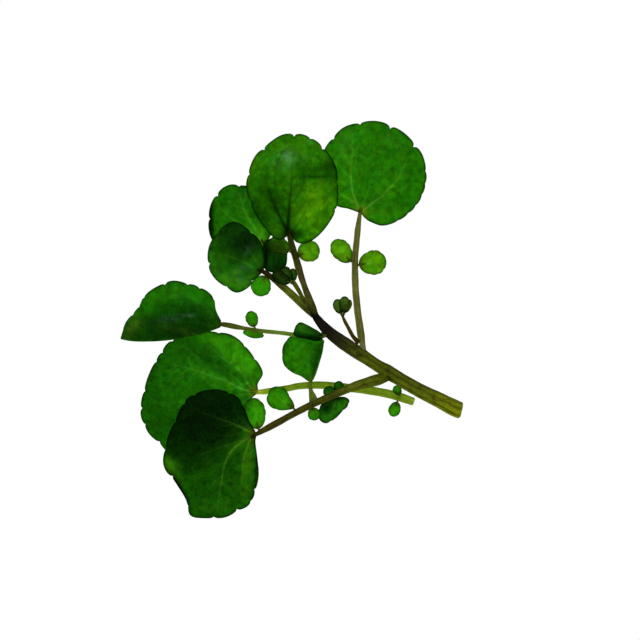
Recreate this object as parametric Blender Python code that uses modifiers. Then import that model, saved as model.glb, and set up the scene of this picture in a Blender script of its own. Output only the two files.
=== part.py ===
"""A cut sprig of watercress lying flat: one stem, seven compound leaves and two young shoots.

Units are metres and +Z is up. The sprig rests on Z = 0, and the origin is under the middle of its
bounding box. Routes, margins and sizes below are written in millimetres and scaled by MM.
"""

import math

import bmesh
import bpy
from mathutils import Vector

MM = 0.001

# Driving dimensions, in millimetres
BLADE_THICKNESS = 0.4
LEAFLET_THICKNESS = 0.36
STALK_RADIUS = 0.85
THIN_STALK_RADIUS = 0.5
STEM_RADIUS = 1.6
CUT_END_RADIUS = 2.2

# How finely the sheets and tubes are divided
BLADE_CELLS = 9
LEAFLET_CELLS = 5
LEAFLET_MARGIN_POINTS = 12
FOLD_CELLS_ALONG = 9
STALK_STEPS = 3
STEM_STEPS = 2

# A blade's height falls from its middle to its margin with this power of the distance
DOME_POWER = 2.0

LEAF_ROUGHNESS = 0.35
STALK_ROUGHNESS = 0.5

GREEN = (0.05, 0.20, 0.02, 1.0)
BRIGHT_GREEN = (0.10, 0.32, 0.03, 1.0)
DARK_GREEN = (0.02, 0.10, 0.02, 1.0)
OLIVE = (0.12, 0.14, 0.03, 1.0)
PURPLE_BROWN = (0.06, 0.04, 0.02, 1.0)
PALE_GREEN = (0.30, 0.38, 0.06, 1.0)


def clear_scene():
    for obj in list(bpy.data.objects):
        bpy.data.objects.remove(obj, do_unlink=True)


def new_collection(name):
    collection = bpy.data.collections.new(name)
    bpy.context.scene.collection.children.link(collection)
    return collection


def plant_material(name, colour, roughness):
    material = bpy.data.materials.new(name)
    material.use_nodes = True
    shader = material.node_tree.nodes["Principled BSDF"]
    shader.inputs["Base Color"].default_value = colour
    shader.inputs["Roughness"].default_value = roughness
    shader.inputs["Metallic"].default_value = 0.0
    material.diffuse_color = colour
    return material


def smooth_point(points, position, closed=False):
    """The point at position, counted in spans, on a smooth curve through points."""
    count = len(points)
    last_span = count if closed else count - 1
    span = min(int(position), last_span - 1)
    t = position - span

    def at(index):
        if closed:
            return points[index % count]
        return points[max(0, min(count - 1, index))]

    before, start, end, after = (at(span + step) for step in (-1, 0, 1, 2))
    return (
        start * 2
        + (end - before) * t
        + (before * 2 - start * 5 + end * 4 - after) * t**2
        + (start * 3 - before - end * 3 + after) * t**3
    ) / 2


def square_to_disc(x, y):
    """The distance from the centre and the turn, from 0 to 1, that a point of the unit square maps to."""
    reach = max(abs(x), abs(y))
    if reach == 0:
        return 0.0, 0.0
    if abs(x) > abs(y):
        angle = math.pi / 4 * y / x + (math.pi if x < 0 else 0.0)
    else:
        angle = math.pi / 2 - math.pi / 4 * x / y + (math.pi if y < 0 else 0.0)
    return reach, (angle / math.tau) % 1.0


class Sprig:
    """Collects the finished sub-parts, each with its own material, under one empty for each leaf."""

    def __init__(self, name):
        self.collection = new_collection(name)
        self.root = None

    def grow_from(self, name, point):
        """An empty where a leaf or shoot leaves the stem. The next sub-parts hang from it."""
        self.root = bpy.data.objects.new(name, None)
        self.root.location = Vector(point) * MM
        self.root.empty_display_size = 2 * MM
        self.collection.objects.link(self.root)

    def add(self, name, data, origin, colour, roughness):
        """Hangs a mesh or curve, drawn round its own origin, at a place in millimetres."""
        obj = bpy.data.objects.new(name, data)
        data.materials.append(plant_material(name, colour, roughness))
        self.collection.objects.link(obj)
        obj.parent = self.root
        obj.location = origin * MM - self.root.location
        return obj

    def stalk(self, name, route, radii, colour, steps=STALK_STEPS, bevel_resolution=2):
        """A tapering tube along a smooth route. The radii run evenly from its root to its tip."""
        route = [Vector(point) for point in route]
        curve = bpy.data.curves.new(name, "CURVE")
        curve.dimensions = "3D"
        curve.bevel_depth = MM
        curve.bevel_resolution = bevel_resolution
        curve.use_fill_caps = True
        count = (len(route) - 1) * steps + 1
        spline = curve.splines.new("POLY")
        spline.points.add(count - 1)
        spline.use_smooth = True
        for index, point in enumerate(spline.points):
            share = index / (count - 1)
            place = (smooth_point(route, share * (len(route) - 1)) - route[0]) * MM
            point.co = (*place, 1.0)
            point.radius = smooth_point(radii, share * (len(radii) - 1))
        return self.add(name, curve, route[0], colour, STALK_ROUGHNESS)

    def sheet(self, name, shape, cells, origin, thickness, colour):
        """A grid of cells bent by shape(x, y), for x and y from -1 to 1, and given a thickness."""
        grid = bmesh.new()
        bmesh.ops.create_grid(grid, x_segments=cells[0], y_segments=cells[1], size=1.0)
        for vert in grid.verts:
            vert.co = (shape(vert.co.x, vert.co.y) - origin) * MM
        mesh = bpy.data.meshes.new(name)
        grid.to_mesh(mesh)
        grid.free()
        mesh.shade_smooth()
        obj = self.add(name, mesh, origin, colour, LEAF_ROUGHNESS)
        skin = obj.modifiers.new("thickness", "SOLIDIFY")
        skin.thickness = thickness * MM
        skin.offset = 0.0
        return obj

    def blade(self, name, margin, centre, colour=GREEN, cells=BLADE_CELLS, thickness=BLADE_THICKNESS):
        """A leaf blade spread inside a closed margin, which starts at the blade's base."""
        margin = [Vector(point) for point in margin]
        centre = Vector(centre)

        def shape(x, y):
            reach, turn = square_to_disc(x, y)
            edge = smooth_point(margin, turn * len(margin), closed=True)
            point = centre.lerp(edge, reach)
            point.z = centre.z + (edge.z - centre.z) * reach**DOME_POWER
            return point

        return self.sheet(name, shape, (cells, cells), margin[0], thickness, colour)

    def leaflet(self, name, base, tip, width, crown=0.3, colour=BRIGHT_GREEN):
        """A small oval leaflet from base to tip. Its middle stands higher than its margin by crown."""
        base = Vector(base)
        along = Vector(tip) - base
        across = along.cross(Vector((0, 0, 1))).normalized() * width / 2
        margin = []
        for index in range(LEAFLET_MARGIN_POINTS):
            angle = math.tau * index / LEAFLET_MARGIN_POINTS
            share = (1 - math.cos(angle)) / 2
            margin.append(base + along * share + across * math.sin(angle))
        centre = base + along / 2 + Vector((0, 0, crown))
        return self.blade(name, margin, centre, colour, LEAFLET_CELLS, LEAFLET_THICKNESS)

    def folded_blade(self, name, fold, margin, profile, colour=GREEN, thickness=BLADE_THICKNESS):
        """A blade doubled along a fold line. At each place along the fold the section follows profile,
        whose points give the share of the way from the fold to the upper margin and the lift."""
        fold = [Vector(point) for point in fold]
        margin = [Vector(point) for point in margin]
        profile = [Vector(point) for point in profile]

        def shape(x, y):
            along = (x + 1) / 2
            crease = smooth_point(fold, along * (len(fold) - 1))
            edge = smooth_point(margin, along * (len(margin) - 1))
            section = smooth_point(profile, (y + 1) / 2 * (len(profile) - 1))
            return crease.lerp(edge, section.x) + Vector((0, 0, section.y))

        cells = (FOLD_CELLS_ALONG, len(profile) - 1)
        return self.sheet(name, shape, cells, fold[0], thickness, colour)


def build_stem(sprig):
    sprig.grow_from("stem_root", (42.0, -22.4, 2.3))
    route = [
        (42.0, -22.5, 2.25),
        (40.2, -21.8, 2.15),
        (36.1, -19.7, 2.1),
        (30.9, -17.1, 2.1),
        (24.9, -13.6, 2.5),
        (20.4, -10.8, 2.8),
        (15.9, -7.8, 3.1),
        (11.6, -4.9, 3.5),
        (8.3, -2.1, 3.8),
        (5.6, 1.2, 4.3),
    ]
    slimming = [1.1, 1.05, 1.05, 0.95, 0.95, 1.0, 0.85, 0.55]
    radii = [CUT_END_RADIUS, CUT_END_RADIUS * 0.9] + [STEM_RADIUS * share for share in slimming]
    sprig.stalk("main_stem", route, radii, OLIVE, STEM_STEPS, bevel_resolution=4)


def build_shoot_tip(sprig):
    sprig.grow_from("shoot_tip_root", (2.05, 5.9, 5.0))
    route = [(2.05, 6.2, 4.9), (1.1, 7.9, 5.1), (0.2, 9.2, 5.3)]
    sprig.stalk("shoot_tip_stalk", route, [0.38, 0.3], OLIVE)
    sprig.leaflet("shoot_tip_left_leaf", (-0.7, 9.5, 6.4), (-4.9, 11.6, 6.6), 3.1, 0.2, DARK_GREEN)
    sprig.leaflet("shoot_tip_middle_leaf", (-0.3, 10.1, 5.5), (-2.5, 13.3, 5.7), 2.7, 0.2, DARK_GREEN)
    sprig.leaflet("shoot_tip_right_leaf", (0.4, 9.9, 4.6), (0.1, 12.9, 4.5), 1.9, 0.15, DARK_GREEN)


def build_side_shoot(sprig):
    sprig.grow_from("side_shoot_root", (15.2, -4.1, 4.4))
    route = [(15.2, -4.1, 4.4), (13.8, -1.6, 4.7), (13.0, -0.1, 4.8), (12.5, 1.1, 4.9)]
    sprig.stalk("side_shoot_stalk", route, [0.5, 0.38], OLIVE)
    sprig.leaflet("side_shoot_left_leaf", (12.0, 1.8, 5.0), (11.0, 5.2, 4.8), 2.6, 0.2, DARK_GREEN)
    sprig.leaflet("side_shoot_middle_leaf", (12.8, 2.0, 5.7), (13.1, 5.9, 6.3), 2.8, 0.2, DARK_GREEN)
    sprig.leaflet("side_shoot_right_leaf", (13.1, 2.0, 4.3), (14.4, 5.1, 4.1), 1.9, 0.2, DARK_GREEN)


def build_right_leaf(sprig):
    sprig.grow_from("right_leaf_root", (17.3, -5.1, 3.6))
    route = [
        (17.3, -5.1, 3.6),
        (16.8, -1.9, 3.5),
        (16.2, 2.9, 3.3),
        (15.75, 7.6, 3.1),
        (15.6, 14.6, 2.8),
        (16.1, 20.9, 2.5),
        (16.8, 26.3, 2.3),
    ]
    sprig.stalk("right_leaf_stalk", route, [STALK_RADIUS, STALK_RADIUS * 0.9, STALK_RADIUS * 0.7], OLIVE)
    margin = [
        (17.0, 26.9, 2.3),
        (14.1, 28.0, 2.0),
        (11.1, 28.8, 1.6),
        (8.5, 31.9, 1.2),
        (7.4, 37.1, 1.0),
        (7.9, 41.9, 0.9),
        (10.4, 45.9, 0.7),
        (14.0, 48.6, 0.5),
        (20.0, 49.7, 0.35),
        (25.2, 48.4, 0.5),
        (29.9, 44.8, 0.9),
        (32.6, 40.6, 1.1),
        (33.4, 35.0, 0.8),
        (31.4, 29.4, 0.5),
        (27.2, 25.4, 0.6),
        (22.8, 23.8, 0.9),
        (19.5, 24.8, 1.5),
        (18.0, 25.9, 2.1),
    ]
    sprig.blade("right_leaf_blade", margin, (20.9, 36.9, 3.2))
    sprig.leaflet("right_leaf_left_leaflet", (14.0, 14.9, 2.7), (10.1, 19.8, 2.0), 4.4)
    sprig.leaflet("right_leaf_right_leaflet", (16.8, 13.9, 2.9), (23.3, 14.9, 1.8), 6.1)


def build_top_leaf(sprig):
    sprig.grow_from("top_leaf_root", (4.8, 3.8, 4.8))
    route = [
        (4.8, 3.8, 4.8),
        (3.9, 6.0, 5.1),
        (2.8, 9.0, 5.5),
        (1.8, 12.2, 6.0),
        (1.0, 15.0, 6.4),
        (0.2, 17.6, 6.8),
        (-0.6, 20.1, 7.15),
    ]
    sprig.stalk("top_leaf_stalk", route, [0.7, 0.75, 0.8, STALK_RADIUS, 0.7], PURPLE_BROWN)
    margin = [
        (-0.7, 21.2, 7.4),
        (-3.2, 20.1, 6.9),
        (-6.0, 21.9, 6.4),
        (-8.4, 25.4, 6.0),
        (-10.4, 29.4, 5.8),
        (-11.3, 33.6, 5.8),
        (-10.6, 37.6, 5.7),
        (-8.8, 41.3, 5.2),
        (-6.0, 43.9, 4.7),
        (-2.2, 46.2, 4.3),
        (1.9, 46.4, 4.0),
        (5.6, 44.9, 3.7),
        (8.9, 41.6, 3.4),
        (10.9, 37.6, 3.8),
        (11.3, 33.1, 4.3),
        (11.0, 28.3, 4.8),
        (9.4, 24.8, 5.4),
        (6.6, 21.4, 6.0),
        (3.6, 19.4, 6.6),
        (1.1, 19.6, 7.1),
    ]
    sprig.blade("top_leaf_blade", margin, (-0.4, 33.6, 9.0))
    sprig.leaflet("top_leaf_left_leaflet", (-0.9, 17.3, 6.0), (-5.6, 19.9, 5.5), 4.4)
    sprig.leaflet("top_leaf_right_leaflet", (1.8, 16.2, 6.2), (6.5, 18.3, 5.6), 5.4)


def build_back_leaf(sprig):
    sprig.grow_from("back_leaf_root", (4.2, 3.0, 2.8))
    route = [
        (4.2, 3.0, 2.8),
        (2.7, 5.2, 2.8),
        (1.2, 8.2, 3.3),
        (-1.6, 12.1, 3.5),
        (-4.4, 15.9, 3.5),
        (-6.6, 18.6, 3.75),
    ]
    sprig.stalk("back_leaf_stalk", route, [THIN_STALK_RADIUS, THIN_STALK_RADIUS], OLIVE)
    margin = [
        (-7.1, 19.2, 3.9),
        (-7.6, 17.1, 3.4),
        (-10.1, 15.8, 2.6),
        (-13.6, 15.6, 1.8),
        (-17.1, 17.1, 1.0),
        (-19.9, 20.1, 0.6),
        (-20.9, 24.1, 0.35),
        (-20.4, 28.4, 0.4),
        (-18.6, 31.9, 0.6),
        (-15.4, 33.8, 0.8),
        (-11.6, 33.5, 1.2),
        (-8.1, 32.4, 1.8),
        (-5.6, 29.9, 2.4),
        (-4.6, 26.4, 3.0),
        (-4.9, 22.9, 3.5),
        (-6.0, 20.5, 3.8),
    ]
    sprig.blade("back_leaf_blade", margin, (-12.9, 24.9, 3.6))


def build_cupped_leaf(sprig):
    sprig.grow_from("cupped_leaf_root", (3.2, 3.2, 4.2))
    route = [
        (3.2, 3.2, 4.2),
        (1.8, 4.6, 4.5),
        (-0.9, 7.1, 4.85),
        (-2.8, 8.7, 5.15),
        (-4.7, 10.3, 5.4),
        (-6.8, 11.8, 5.5),
    ]
    sprig.stalk("cupped_leaf_stalk", route, [0.7, STALK_RADIUS, 0.8, 0.6], PURPLE_BROWN)
    margin = [
        (-7.5, 12.2, 5.6),
        (-9.5, 10.2, 4.9),
        (-10.9, 8.4, 4.0),
        (-13.9, 7.1, 3.2),
        (-16.9, 8.6, 2.9),
        (-19.4, 10.8, 2.8),
        (-20.9, 13.6, 2.8),
        (-20.9, 17.1, 3.0),
        (-19.9, 20.0, 3.6),
        (-17.8, 22.8, 4.4),
        (-14.6, 24.4, 5.0),
        (-11.4, 22.9, 5.4),
        (-8.8, 20.6, 5.5),
        (-7.4, 17.9, 5.5),
        (-7.0, 14.6, 5.5),
    ]
    sprig.blade("cupped_leaf_blade", margin, (-13.9, 15.9, 6.4))
    sprig.leaflet("cupped_leaf_lower_leaflet", (-6.7, 10.6, 4.2), (-8.5, 6.2, 3.7), 5.0)
    margin = [
        (-3.9, 11.9, 5.0),
        (-5.5, 12.3, 4.9),
        (-6.4, 13.6, 4.8),
        (-6.6, 15.8, 4.7),
        (-6.5, 18.2, 4.6),
        (-5.6, 20.0, 4.6),
        (-3.9, 20.5, 4.6),
        (-2.3, 20.1, 4.6),
        (-1.4, 18.4, 4.7),
        (-1.3, 16.2, 4.8),
        (-1.5, 14.0, 4.9),
        (-2.5, 12.5, 5.0),
    ]
    sprig.blade(
        "cupped_leaf_upper_leaflet",
        margin,
        (-3.9, 16.2, 5.1),
        BRIGHT_GREEN,
        LEAFLET_CELLS,
        LEAFLET_THICKNESS,
    )


def build_folded_leaf(sprig):
    sprig.grow_from("folded_leaf_root", (7.0, -3.8, 3.9))
    route = [
        (7.0, -3.8, 3.9),
        (1.1, -3.6, 4.0),
        (-3.1, -3.1, 4.1),
        (-8.1, -2.6, 4.2),
        (-13.1, -1.8, 4.2),
        (-17.4, -1.0, 4.2),
    ]
    sprig.stalk("folded_leaf_stalk", route, [0.55, THIN_STALK_RADIUS, THIN_STALK_RADIUS], OLIVE)
    fold = [
        (-17.9, -1.6, 4.1),
        (-21.4, -2.9, 3.8),
        (-25.4, -3.9, 3.4),
        (-29.4, -4.6, 2.9),
        (-34.4, -5.2, 2.0),
        (-40.6, -5.1, 1.5),
        (-42.8, -4.5, 1.25),
    ]
    margin = [
        (-17.8, -0.1, 4.2),
        (-19.1, 2.5, 3.3),
        (-19.7, 5.6, 2.2),
        (-22.9, 8.2, 1.3),
        (-27.1, 9.4, 0.9),
        (-30.6, 9.7, 0.7),
        (-33.8, 8.3, 0.7),
        (-36.9, 6.2, 0.7),
        (-38.6, 3.1, 0.8),
        (-41.4, -0.4, 1.0),
        (-42.6, -3.6, 1.2),
    ]
    profile = [
        (1.0, 0.0),
        (0.75, 1.0),
        (0.5, 1.6),
        (0.28, 1.6),
        (0.1, 0.9),
        (0.0, 0.0),
        (0.08, -0.7),
        (0.28, -0.9),
        (0.55, -0.8),
    ]
    sprig.folded_blade("folded_leaf_blade", fold, margin, profile)
    sprig.leaflet("folded_leaf_upper_leaflet", (-9.5, -1.5, 4.3), (-10.6, 2.2, 4.0), 3.1)
    sprig.leaflet("folded_leaf_lower_leaflet", (-9.5, -2.3, 3.3), (-9.9, -4.3, 2.0), 5.4)
    margin = [
        (7.7, -4.2, 5.2),
        (6.4, -5.1, 5.2),
        (4.7, -4.9, 5.2),
        (3.1, -4.5, 5.3),
        (1.5, -4.2, 5.4),
        (0.4, -3.6, 5.5),
        (0.5, -2.4, 5.6),
        (1.1, -1.1, 5.6),
        (2.1, -0.5, 5.6),
        (3.6, -1.1, 5.5),
        (5.3, -2.0, 5.4),
        (6.8, -2.9, 5.3),
    ]
    sprig.blade(
        "folded_leaf_base_leaflet",
        margin,
        (3.4, -2.9, 5.9),
        DARK_GREEN,
        LEAFLET_CELLS,
        LEAFLET_THICKNESS,
    )


def build_loose_leaf(sprig):
    sprig.grow_from("loose_leaf_root", (30.2, -20.3, 1.15))
    route = [
        (30.2, -20.3, 1.15),
        (26.3, -19.0, 1.12),
        (22.5, -18.1, 1.1),
        (18.4, -17.4, 1.1),
        (15.0, -17.0, 1.05),
        (11.9, -16.6, 1.0),
        (6.9, -16.2, 1.05),
        (1.9, -16.4, 1.15),
        (-1.1, -17.0, 1.25),
        (-5.1, -17.6, 1.4),
        (-8.1, -17.9, 1.5),
    ]
    sprig.stalk("loose_leaf_stalk", route, [1.05, 1.05, 0.95, 0.85, 0.7], PALE_GREEN)
    margin = [
        (-8.8, -18.0, 1.5),
        (-10.4, -19.6, 1.4),
        (-11.6, -22.9, 1.2),
        (-13.1, -26.9, 1.0),
        (-16.1, -31.4, 0.7),
        (-20.6, -35.1, 0.4),
        (-25.1, -36.1, 0.3),
        (-29.6, -34.1, 0.3),
        (-32.9, -31.0, 0.3),
        (-36.1, -27.7, 0.35),
        (-37.8, -23.6, 0.5),
        (-37.5, -19.4, 0.6),
        (-35.9, -14.1, 0.6),
        (-33.6, -9.2, 0.5),
        (-30.1, -4.9, 0.45),
        (-24.9, -3.1, 0.6),
        (-19.6, -2.9, 0.9),
        (-15.8, -3.6, 1.1),
        (-12.6, -5.6, 1.3),
        (-10.2, -8.5, 1.4),
        (-8.3, -11.0, 1.5),
        (-7.5, -13.4, 1.5),
        (-8.8, -15.9, 1.5),
    ]
    sprig.blade("loose_leaf_blade", margin, (-22.4, -19.1, 2.4))
    sprig.leaflet("loose_leaf_upper_leaflet", (26.6, -18.1, 2.6), (25.2, -16.9, 2.2), 1.5, 0.1, DARK_GREEN)
    sprig.leaflet("loose_leaf_lower_leaflet", (26.2, -20.5, 1.2), (24.9, -23.9, 0.7), 3.0, 0.1)


def build_front_leaf(sprig):
    sprig.grow_from("front_leaf_root", (22.6, -15.0, 3.1))
    route = [
        (22.6, -15.0, 3.1),
        (21.3, -14.9, 3.4),
        (19.2, -15.4, 3.7),
        (14.4, -16.9, 4.0),
        (9.4, -19.0, 4.1),
        (5.1, -20.9, 4.1),
        (0.6, -23.2, 3.9),
        (-5.6, -26.6, 3.6),
        (-8.8, -28.2, 3.5),
    ]
    sprig.stalk("front_leaf_stalk", route, [0.7, 1.1, 1.05, 0.95, 0.88, 0.85, 0.8, 0.75, 0.65], OLIVE)
    margin = [
        (-9.2, -28.2, 3.5),
        (-9.4, -30.4, 3.2),
        (-8.9, -34.4, 2.6),
        (-8.5, -38.6, 1.9),
        (-9.2, -42.4, 1.3),
        (-10.7, -45.8, 0.8),
        (-13.7, -47.6, 0.5),
        (-17.4, -49.2, 0.35),
        (-21.9, -49.3, 0.35),
        (-25.5, -48.5, 0.5),
        (-26.6, -44.5, 0.9),
        (-28.9, -40.7, 1.3),
        (-31.4, -37.6, 1.6),
        (-32.1, -34.3, 2.0),
        (-30.9, -29.1, 2.6),
        (-28.9, -24.4, 3.1),
        (-26.7, -20.1, 3.4),
        (-23.4, -18.0, 3.6),
        (-18.9, -17.4, 3.8),
        (-15.1, -18.3, 3.9),
        (-12.5, -20.8, 3.9),
        (-10.9, -25.0, 3.8),
    ]
    sprig.blade("front_leaf_blade", margin, (-20.1, -32.9, 4.4))
    sprig.leaflet("front_leaf_outer_leaflet", (-8.6, -26.9, 3.0), (-9.9, -19.5, 2.6), 5.2)
    sprig.leaflet("front_leaf_small_leaflet", (4.9, -21.9, 3.3), (5.9, -24.8, 2.8), 3.2, 0.2)
    margin = [
        (0.2, -21.8, 3.9),
        (-1.4, -22.2, 3.8),
        (-3.3, -22.3, 3.7),
        (-4.7, -21.9, 3.6),
        (-5.8, -20.9, 3.5),
        (-6.3, -19.3, 3.5),
        (-5.5, -17.3, 3.5),
        (-3.8, -16.5, 3.5),
        (-2.2, -16.9, 3.6),
        (-1.1, -18.2, 3.7),
        (-0.3, -19.6, 3.8),
        (0.3, -20.9, 3.9),
    ]
    sprig.blade(
        "front_leaf_middle_leaflet",
        margin,
        (-3.0, -19.6, 4.0),
        BRIGHT_GREEN,
        LEAFLET_CELLS,
        LEAFLET_THICKNESS,
    )
    build_large_leaflet(sprig)
    build_curled_leaflets(sprig)


def build_large_leaflet(sprig):
    route = [(5.0, -19.3, 4.0), (4.7, -17.9, 3.9), (4.3, -16.1, 3.7)]
    sprig.stalk("front_leaf_large_leaflet_stalk", route, [0.5, 0.4], OLIVE)
    fold = [(4.8, -15.4, 3.7), (5.8, -13.4, 3.8), (6.8, -10.1, 3.7), (7.5, -7.4, 3.3), (7.9, -5.3, 2.7)]
    margin = [
        (3.9, -15.1, 3.7),
        (2.4, -14.0, 3.7),
        (0.2, -13.1, 3.5),
        (-1.8, -11.4, 3.3),
        (-2.5, -8.6, 3.0),
        (-1.9, -5.7, 2.8),
        (-0.1, -3.9, 2.5),
        (3.6, -3.2, 2.4),
        (7.2, -4.3, 2.6),
    ]
    profile = [(1.0, 0.0), (0.7, 0.5), (0.4, 0.7), (0.15, 0.5), (0.0, 0.0), (0.08, -0.45), (0.22, -0.5)]
    sprig.folded_blade("front_leaf_large_leaflet", fold, margin, profile, GREEN, LEAFLET_THICKNESS)


def build_curled_leaflets(sprig):
    sprig.leaflet(
        "front_leaf_curled_upper_leaflet", (11.5, -18.0, 2.6), (11.9, -15.3, 2.9), 2.2, 0.1, DARK_GREEN
    )
    sprig.leaflet(
        "front_leaf_curled_side_leaflet", (10.4, -18.0, 2.45), (7.8, -17.3, 2.35), 2.8, 0.1, DARK_GREEN
    )
    margin = [
        (10.9, -19.4, 2.8),
        (8.9, -20.1, 2.5),
        (7.0, -21.3, 2.3),
        (6.4, -23.1, 2.0),
        (7.1, -24.9, 2.1),
        (8.6, -25.6, 2.2),
        (10.3, -24.7, 2.4),
        (12.0, -23.1, 2.5),
        (13.7, -21.5, 2.6),
        (14.2, -20.0, 2.7),
        (12.9, -19.2, 2.8),
    ]
    sprig.blade(
        "front_leaf_curled_lower_leaflet",
        margin,
        (10.4, -22.1, 1.1),
        DARK_GREEN,
        LEAFLET_CELLS,
        LEAFLET_THICKNESS,
    )


def main():
    clear_scene()
    sprig = Sprig("watercress")
    build_stem(sprig)
    build_shoot_tip(sprig)
    build_side_shoot(sprig)
    build_right_leaf(sprig)
    build_top_leaf(sprig)
    build_back_leaf(sprig)
    build_cupped_leaf(sprig)
    build_folded_leaf(sprig)
    build_loose_leaf(sprig)
    build_front_leaf(sprig)


main()
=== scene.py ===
"""Looks of a cut watercress sprig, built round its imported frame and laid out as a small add-on.

Lengths are in millimetres until a mesh is made, and MM turns them into metres. A blade is a grid
spread inside its margin. The margin is dented by notches, and veins grow over it from its base.
Stalks are tubes that Geometry Nodes sweep along their routes.
"""

import math
from dataclasses import dataclass

import bmesh
import bpy
import numpy as np
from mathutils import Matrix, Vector, kdtree, noise


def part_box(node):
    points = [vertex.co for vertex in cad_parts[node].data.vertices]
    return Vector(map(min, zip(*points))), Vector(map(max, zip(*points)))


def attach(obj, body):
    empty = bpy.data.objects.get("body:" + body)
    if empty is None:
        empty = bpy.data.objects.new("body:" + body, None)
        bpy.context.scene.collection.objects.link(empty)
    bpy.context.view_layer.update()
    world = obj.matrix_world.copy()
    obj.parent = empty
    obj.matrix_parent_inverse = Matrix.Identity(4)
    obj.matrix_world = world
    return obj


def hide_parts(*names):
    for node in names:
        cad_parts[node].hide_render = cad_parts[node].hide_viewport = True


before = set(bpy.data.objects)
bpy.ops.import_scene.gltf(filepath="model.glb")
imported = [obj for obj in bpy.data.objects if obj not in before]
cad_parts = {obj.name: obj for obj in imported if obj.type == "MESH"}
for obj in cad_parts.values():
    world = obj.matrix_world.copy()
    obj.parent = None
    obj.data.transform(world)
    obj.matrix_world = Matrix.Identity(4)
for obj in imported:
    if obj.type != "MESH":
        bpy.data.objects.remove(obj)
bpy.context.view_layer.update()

bl_info = {
    "name": "Watercress Sprig",
    "version": (1, 0, 0),
    "blender": (4, 5, 0),
    "location": "View3D > Sidebar > Watercress",
    "description": "Builds a cut watercress sprig with notched, veined blades and ribbed stalks",
    "category": "Object",
}

MM = 0.001
TINY = 1e-9
BODY = "root"

# The camera looks straight down on the middle of the photographed frame
VIEW_CENTRE = (6.9, 0.1)
VIEW_WIDTH = 160.0
LENS = 300.0
SENSOR = 36.0

# Blades: how the sheet narrows to its margin, and how its notches and lobes are shaped
DOME_POWER = 2.0
RIM_THICKNESS_SHARE = 0.42
RIM_POWER = 6
# The width of the band of painted shade along a blade's margin
RIM_SHADE_BAND = 0.32
HEEL_REACH = 1.6
NOTCH_WIDTH = 0.4
FULL_NOTCH_SIZE = 0.5
LOBE_BULGE = 0.16
LOBE_LENGTH = 7.0
SEARCH_STEPS = 720
SPAN_SAMPLES = 20

# Veins: side veins leave the ribs, small veins leave both, and each bends towards its parent's tip
VEIN_STEP = 0.5
SIDE_VEIN_BEND = math.radians(3.2)
VEIN_CLEARANCE = 0.3
VEIN_FADE = 0.4
VEIN_REACH = 0.95
SIDE_VEIN_STRENGTH = 0.5
VEIN_FREE_STEPS = 2
VEIN_PARENT_SHARE = 0.94
VEIN_SAMPLE_STEP = 0.12
VEIN_WIDTHS = ((0.32, 0.15), (0.18, 0.12), (0.15, 0.1))
VEIN_WEIGHTS = (1.0, 0.45, 0.25)

# Side veins, then small ones: how far apart they start, the angle they leave at, their most steps
SIDE_VEIN_KINDS = ((3.1, math.radians(52), 40), (1.9, math.radians(62), 8))

# The ranges of the veins' random draws, each a share of the value that it varies
FIRST_VEIN_RANGE = (0.5, 1.0)
VEIN_ANGLE_RANGE = (0.85, 1.15)
VEIN_BEND_RANGE = (0.5, 1.3)
VEIN_SPACING_RANGE = (0.7, 1.3)

# Relief: how a blade swells between its veins and puckers, and how that fades towards its margin
QUILT_WIDTH = 1.3
PUCKER_SIZE = 4.5
NOISE_SEED_STEP = 0.37
NOISE_SEED_LIMIT = 97
RELIEF_MARGIN = 1.2
MARGIN_GRIP = 8
FLOOR_CLEARANCE = 0.03

# Folded blades: where along the fold their midrib bends and ends, where their side ribs bend, the
# share of their cells that lies across the fold, and the reach of a place that is off the sheet
FOLD_MIDRIB = (0.5, 0.94)
FOLD_SIDE_BEND = (0.5, 0.75)
FOLD_SIDE_STRENGTH = 0.7
FOLD_CELL_SHARE = 2 / 3
OFF_SHEET = 2.0

# Small leaflets: how many points their margin has, how they narrow to the tip, and their notches
LEAFLET_MARGIN_POINTS = 16
LEAFLET_TAPER = 0.12
LEAFLET_NOTCHES = (0.35, 0.62, 0.86)
LEAFLET_NOTCH_DEPTH = 0.025
SHAPED_RIB_REACH = 1.8
LEAFLET_SCALE = 0.15
LARGE_LEAFLET_WIDTH = 9.0

# Their ribs bend and end at these shares of their length, and of half their width for the side ones
LEAFLET_MIDRIB = (0.5, 0.9)
LEAFLET_SIDE_RIB = ((0.35, 0.5), (0.7, 0.72))
LEAFLET_SIDE_STRENGTH = 0.6

# The short stalk that joins a leaflet to its parent stalk
LEAFLET_STALK_ARCH = 0.1
LEAFLET_STALK_REACH = 0.5
LEAFLET_STALK_RADII = (0.34, 0.26, 0.2, 0.1)
LEAFLET_STALK_RIDGES = 3
LEAFLET_STALK_INPUTS = {"Sides": 10, "Step": 0.0003, "Wobble": 0.00003}

# Stalks: how closely their routes are sampled, how their ends narrow, and their sections' sides
ROUTE_STEP = 0.2
END_ROUNDING = 0.5
END_SHARE = 0.72
STALK_SIDES = 20
STEM_SIDES = 36

# The cut end is a cap, a face with more corners than a quad, this near the start of its route
CUT_REACH = 0.1
QUAD_CORNERS = 4
SMALLEST_HOLLOW = 0.01

# A piece may stand this far outside its node's box, where it closes a joint or rounds a lobe
NODE_MARGIN = 4.5

# The floor's roundness, how strongly the backdrop lights the leaves, and its colour
FLOOR_SEGMENTS = 96
WORLD_LIGHT = 0.02
WORLD_COLOUR = (0.95, 0.98, 1.0)

# Soft lights: their colour, then each one's name, place and width in metres, and power in watts
LAMP_COLOUR = (0.85, 0.93, 1.0)
SOFT_LIGHTS = (
    ("north_light", (-0.1, 1.0, 0.9), 0.4, 8.0),
    ("high_light", (-0.1, 0.3, 1.3), 0.3, 5.5),
    ("south_light", (0.2, -0.9, 0.9), 0.4, 4.5),
)


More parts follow.
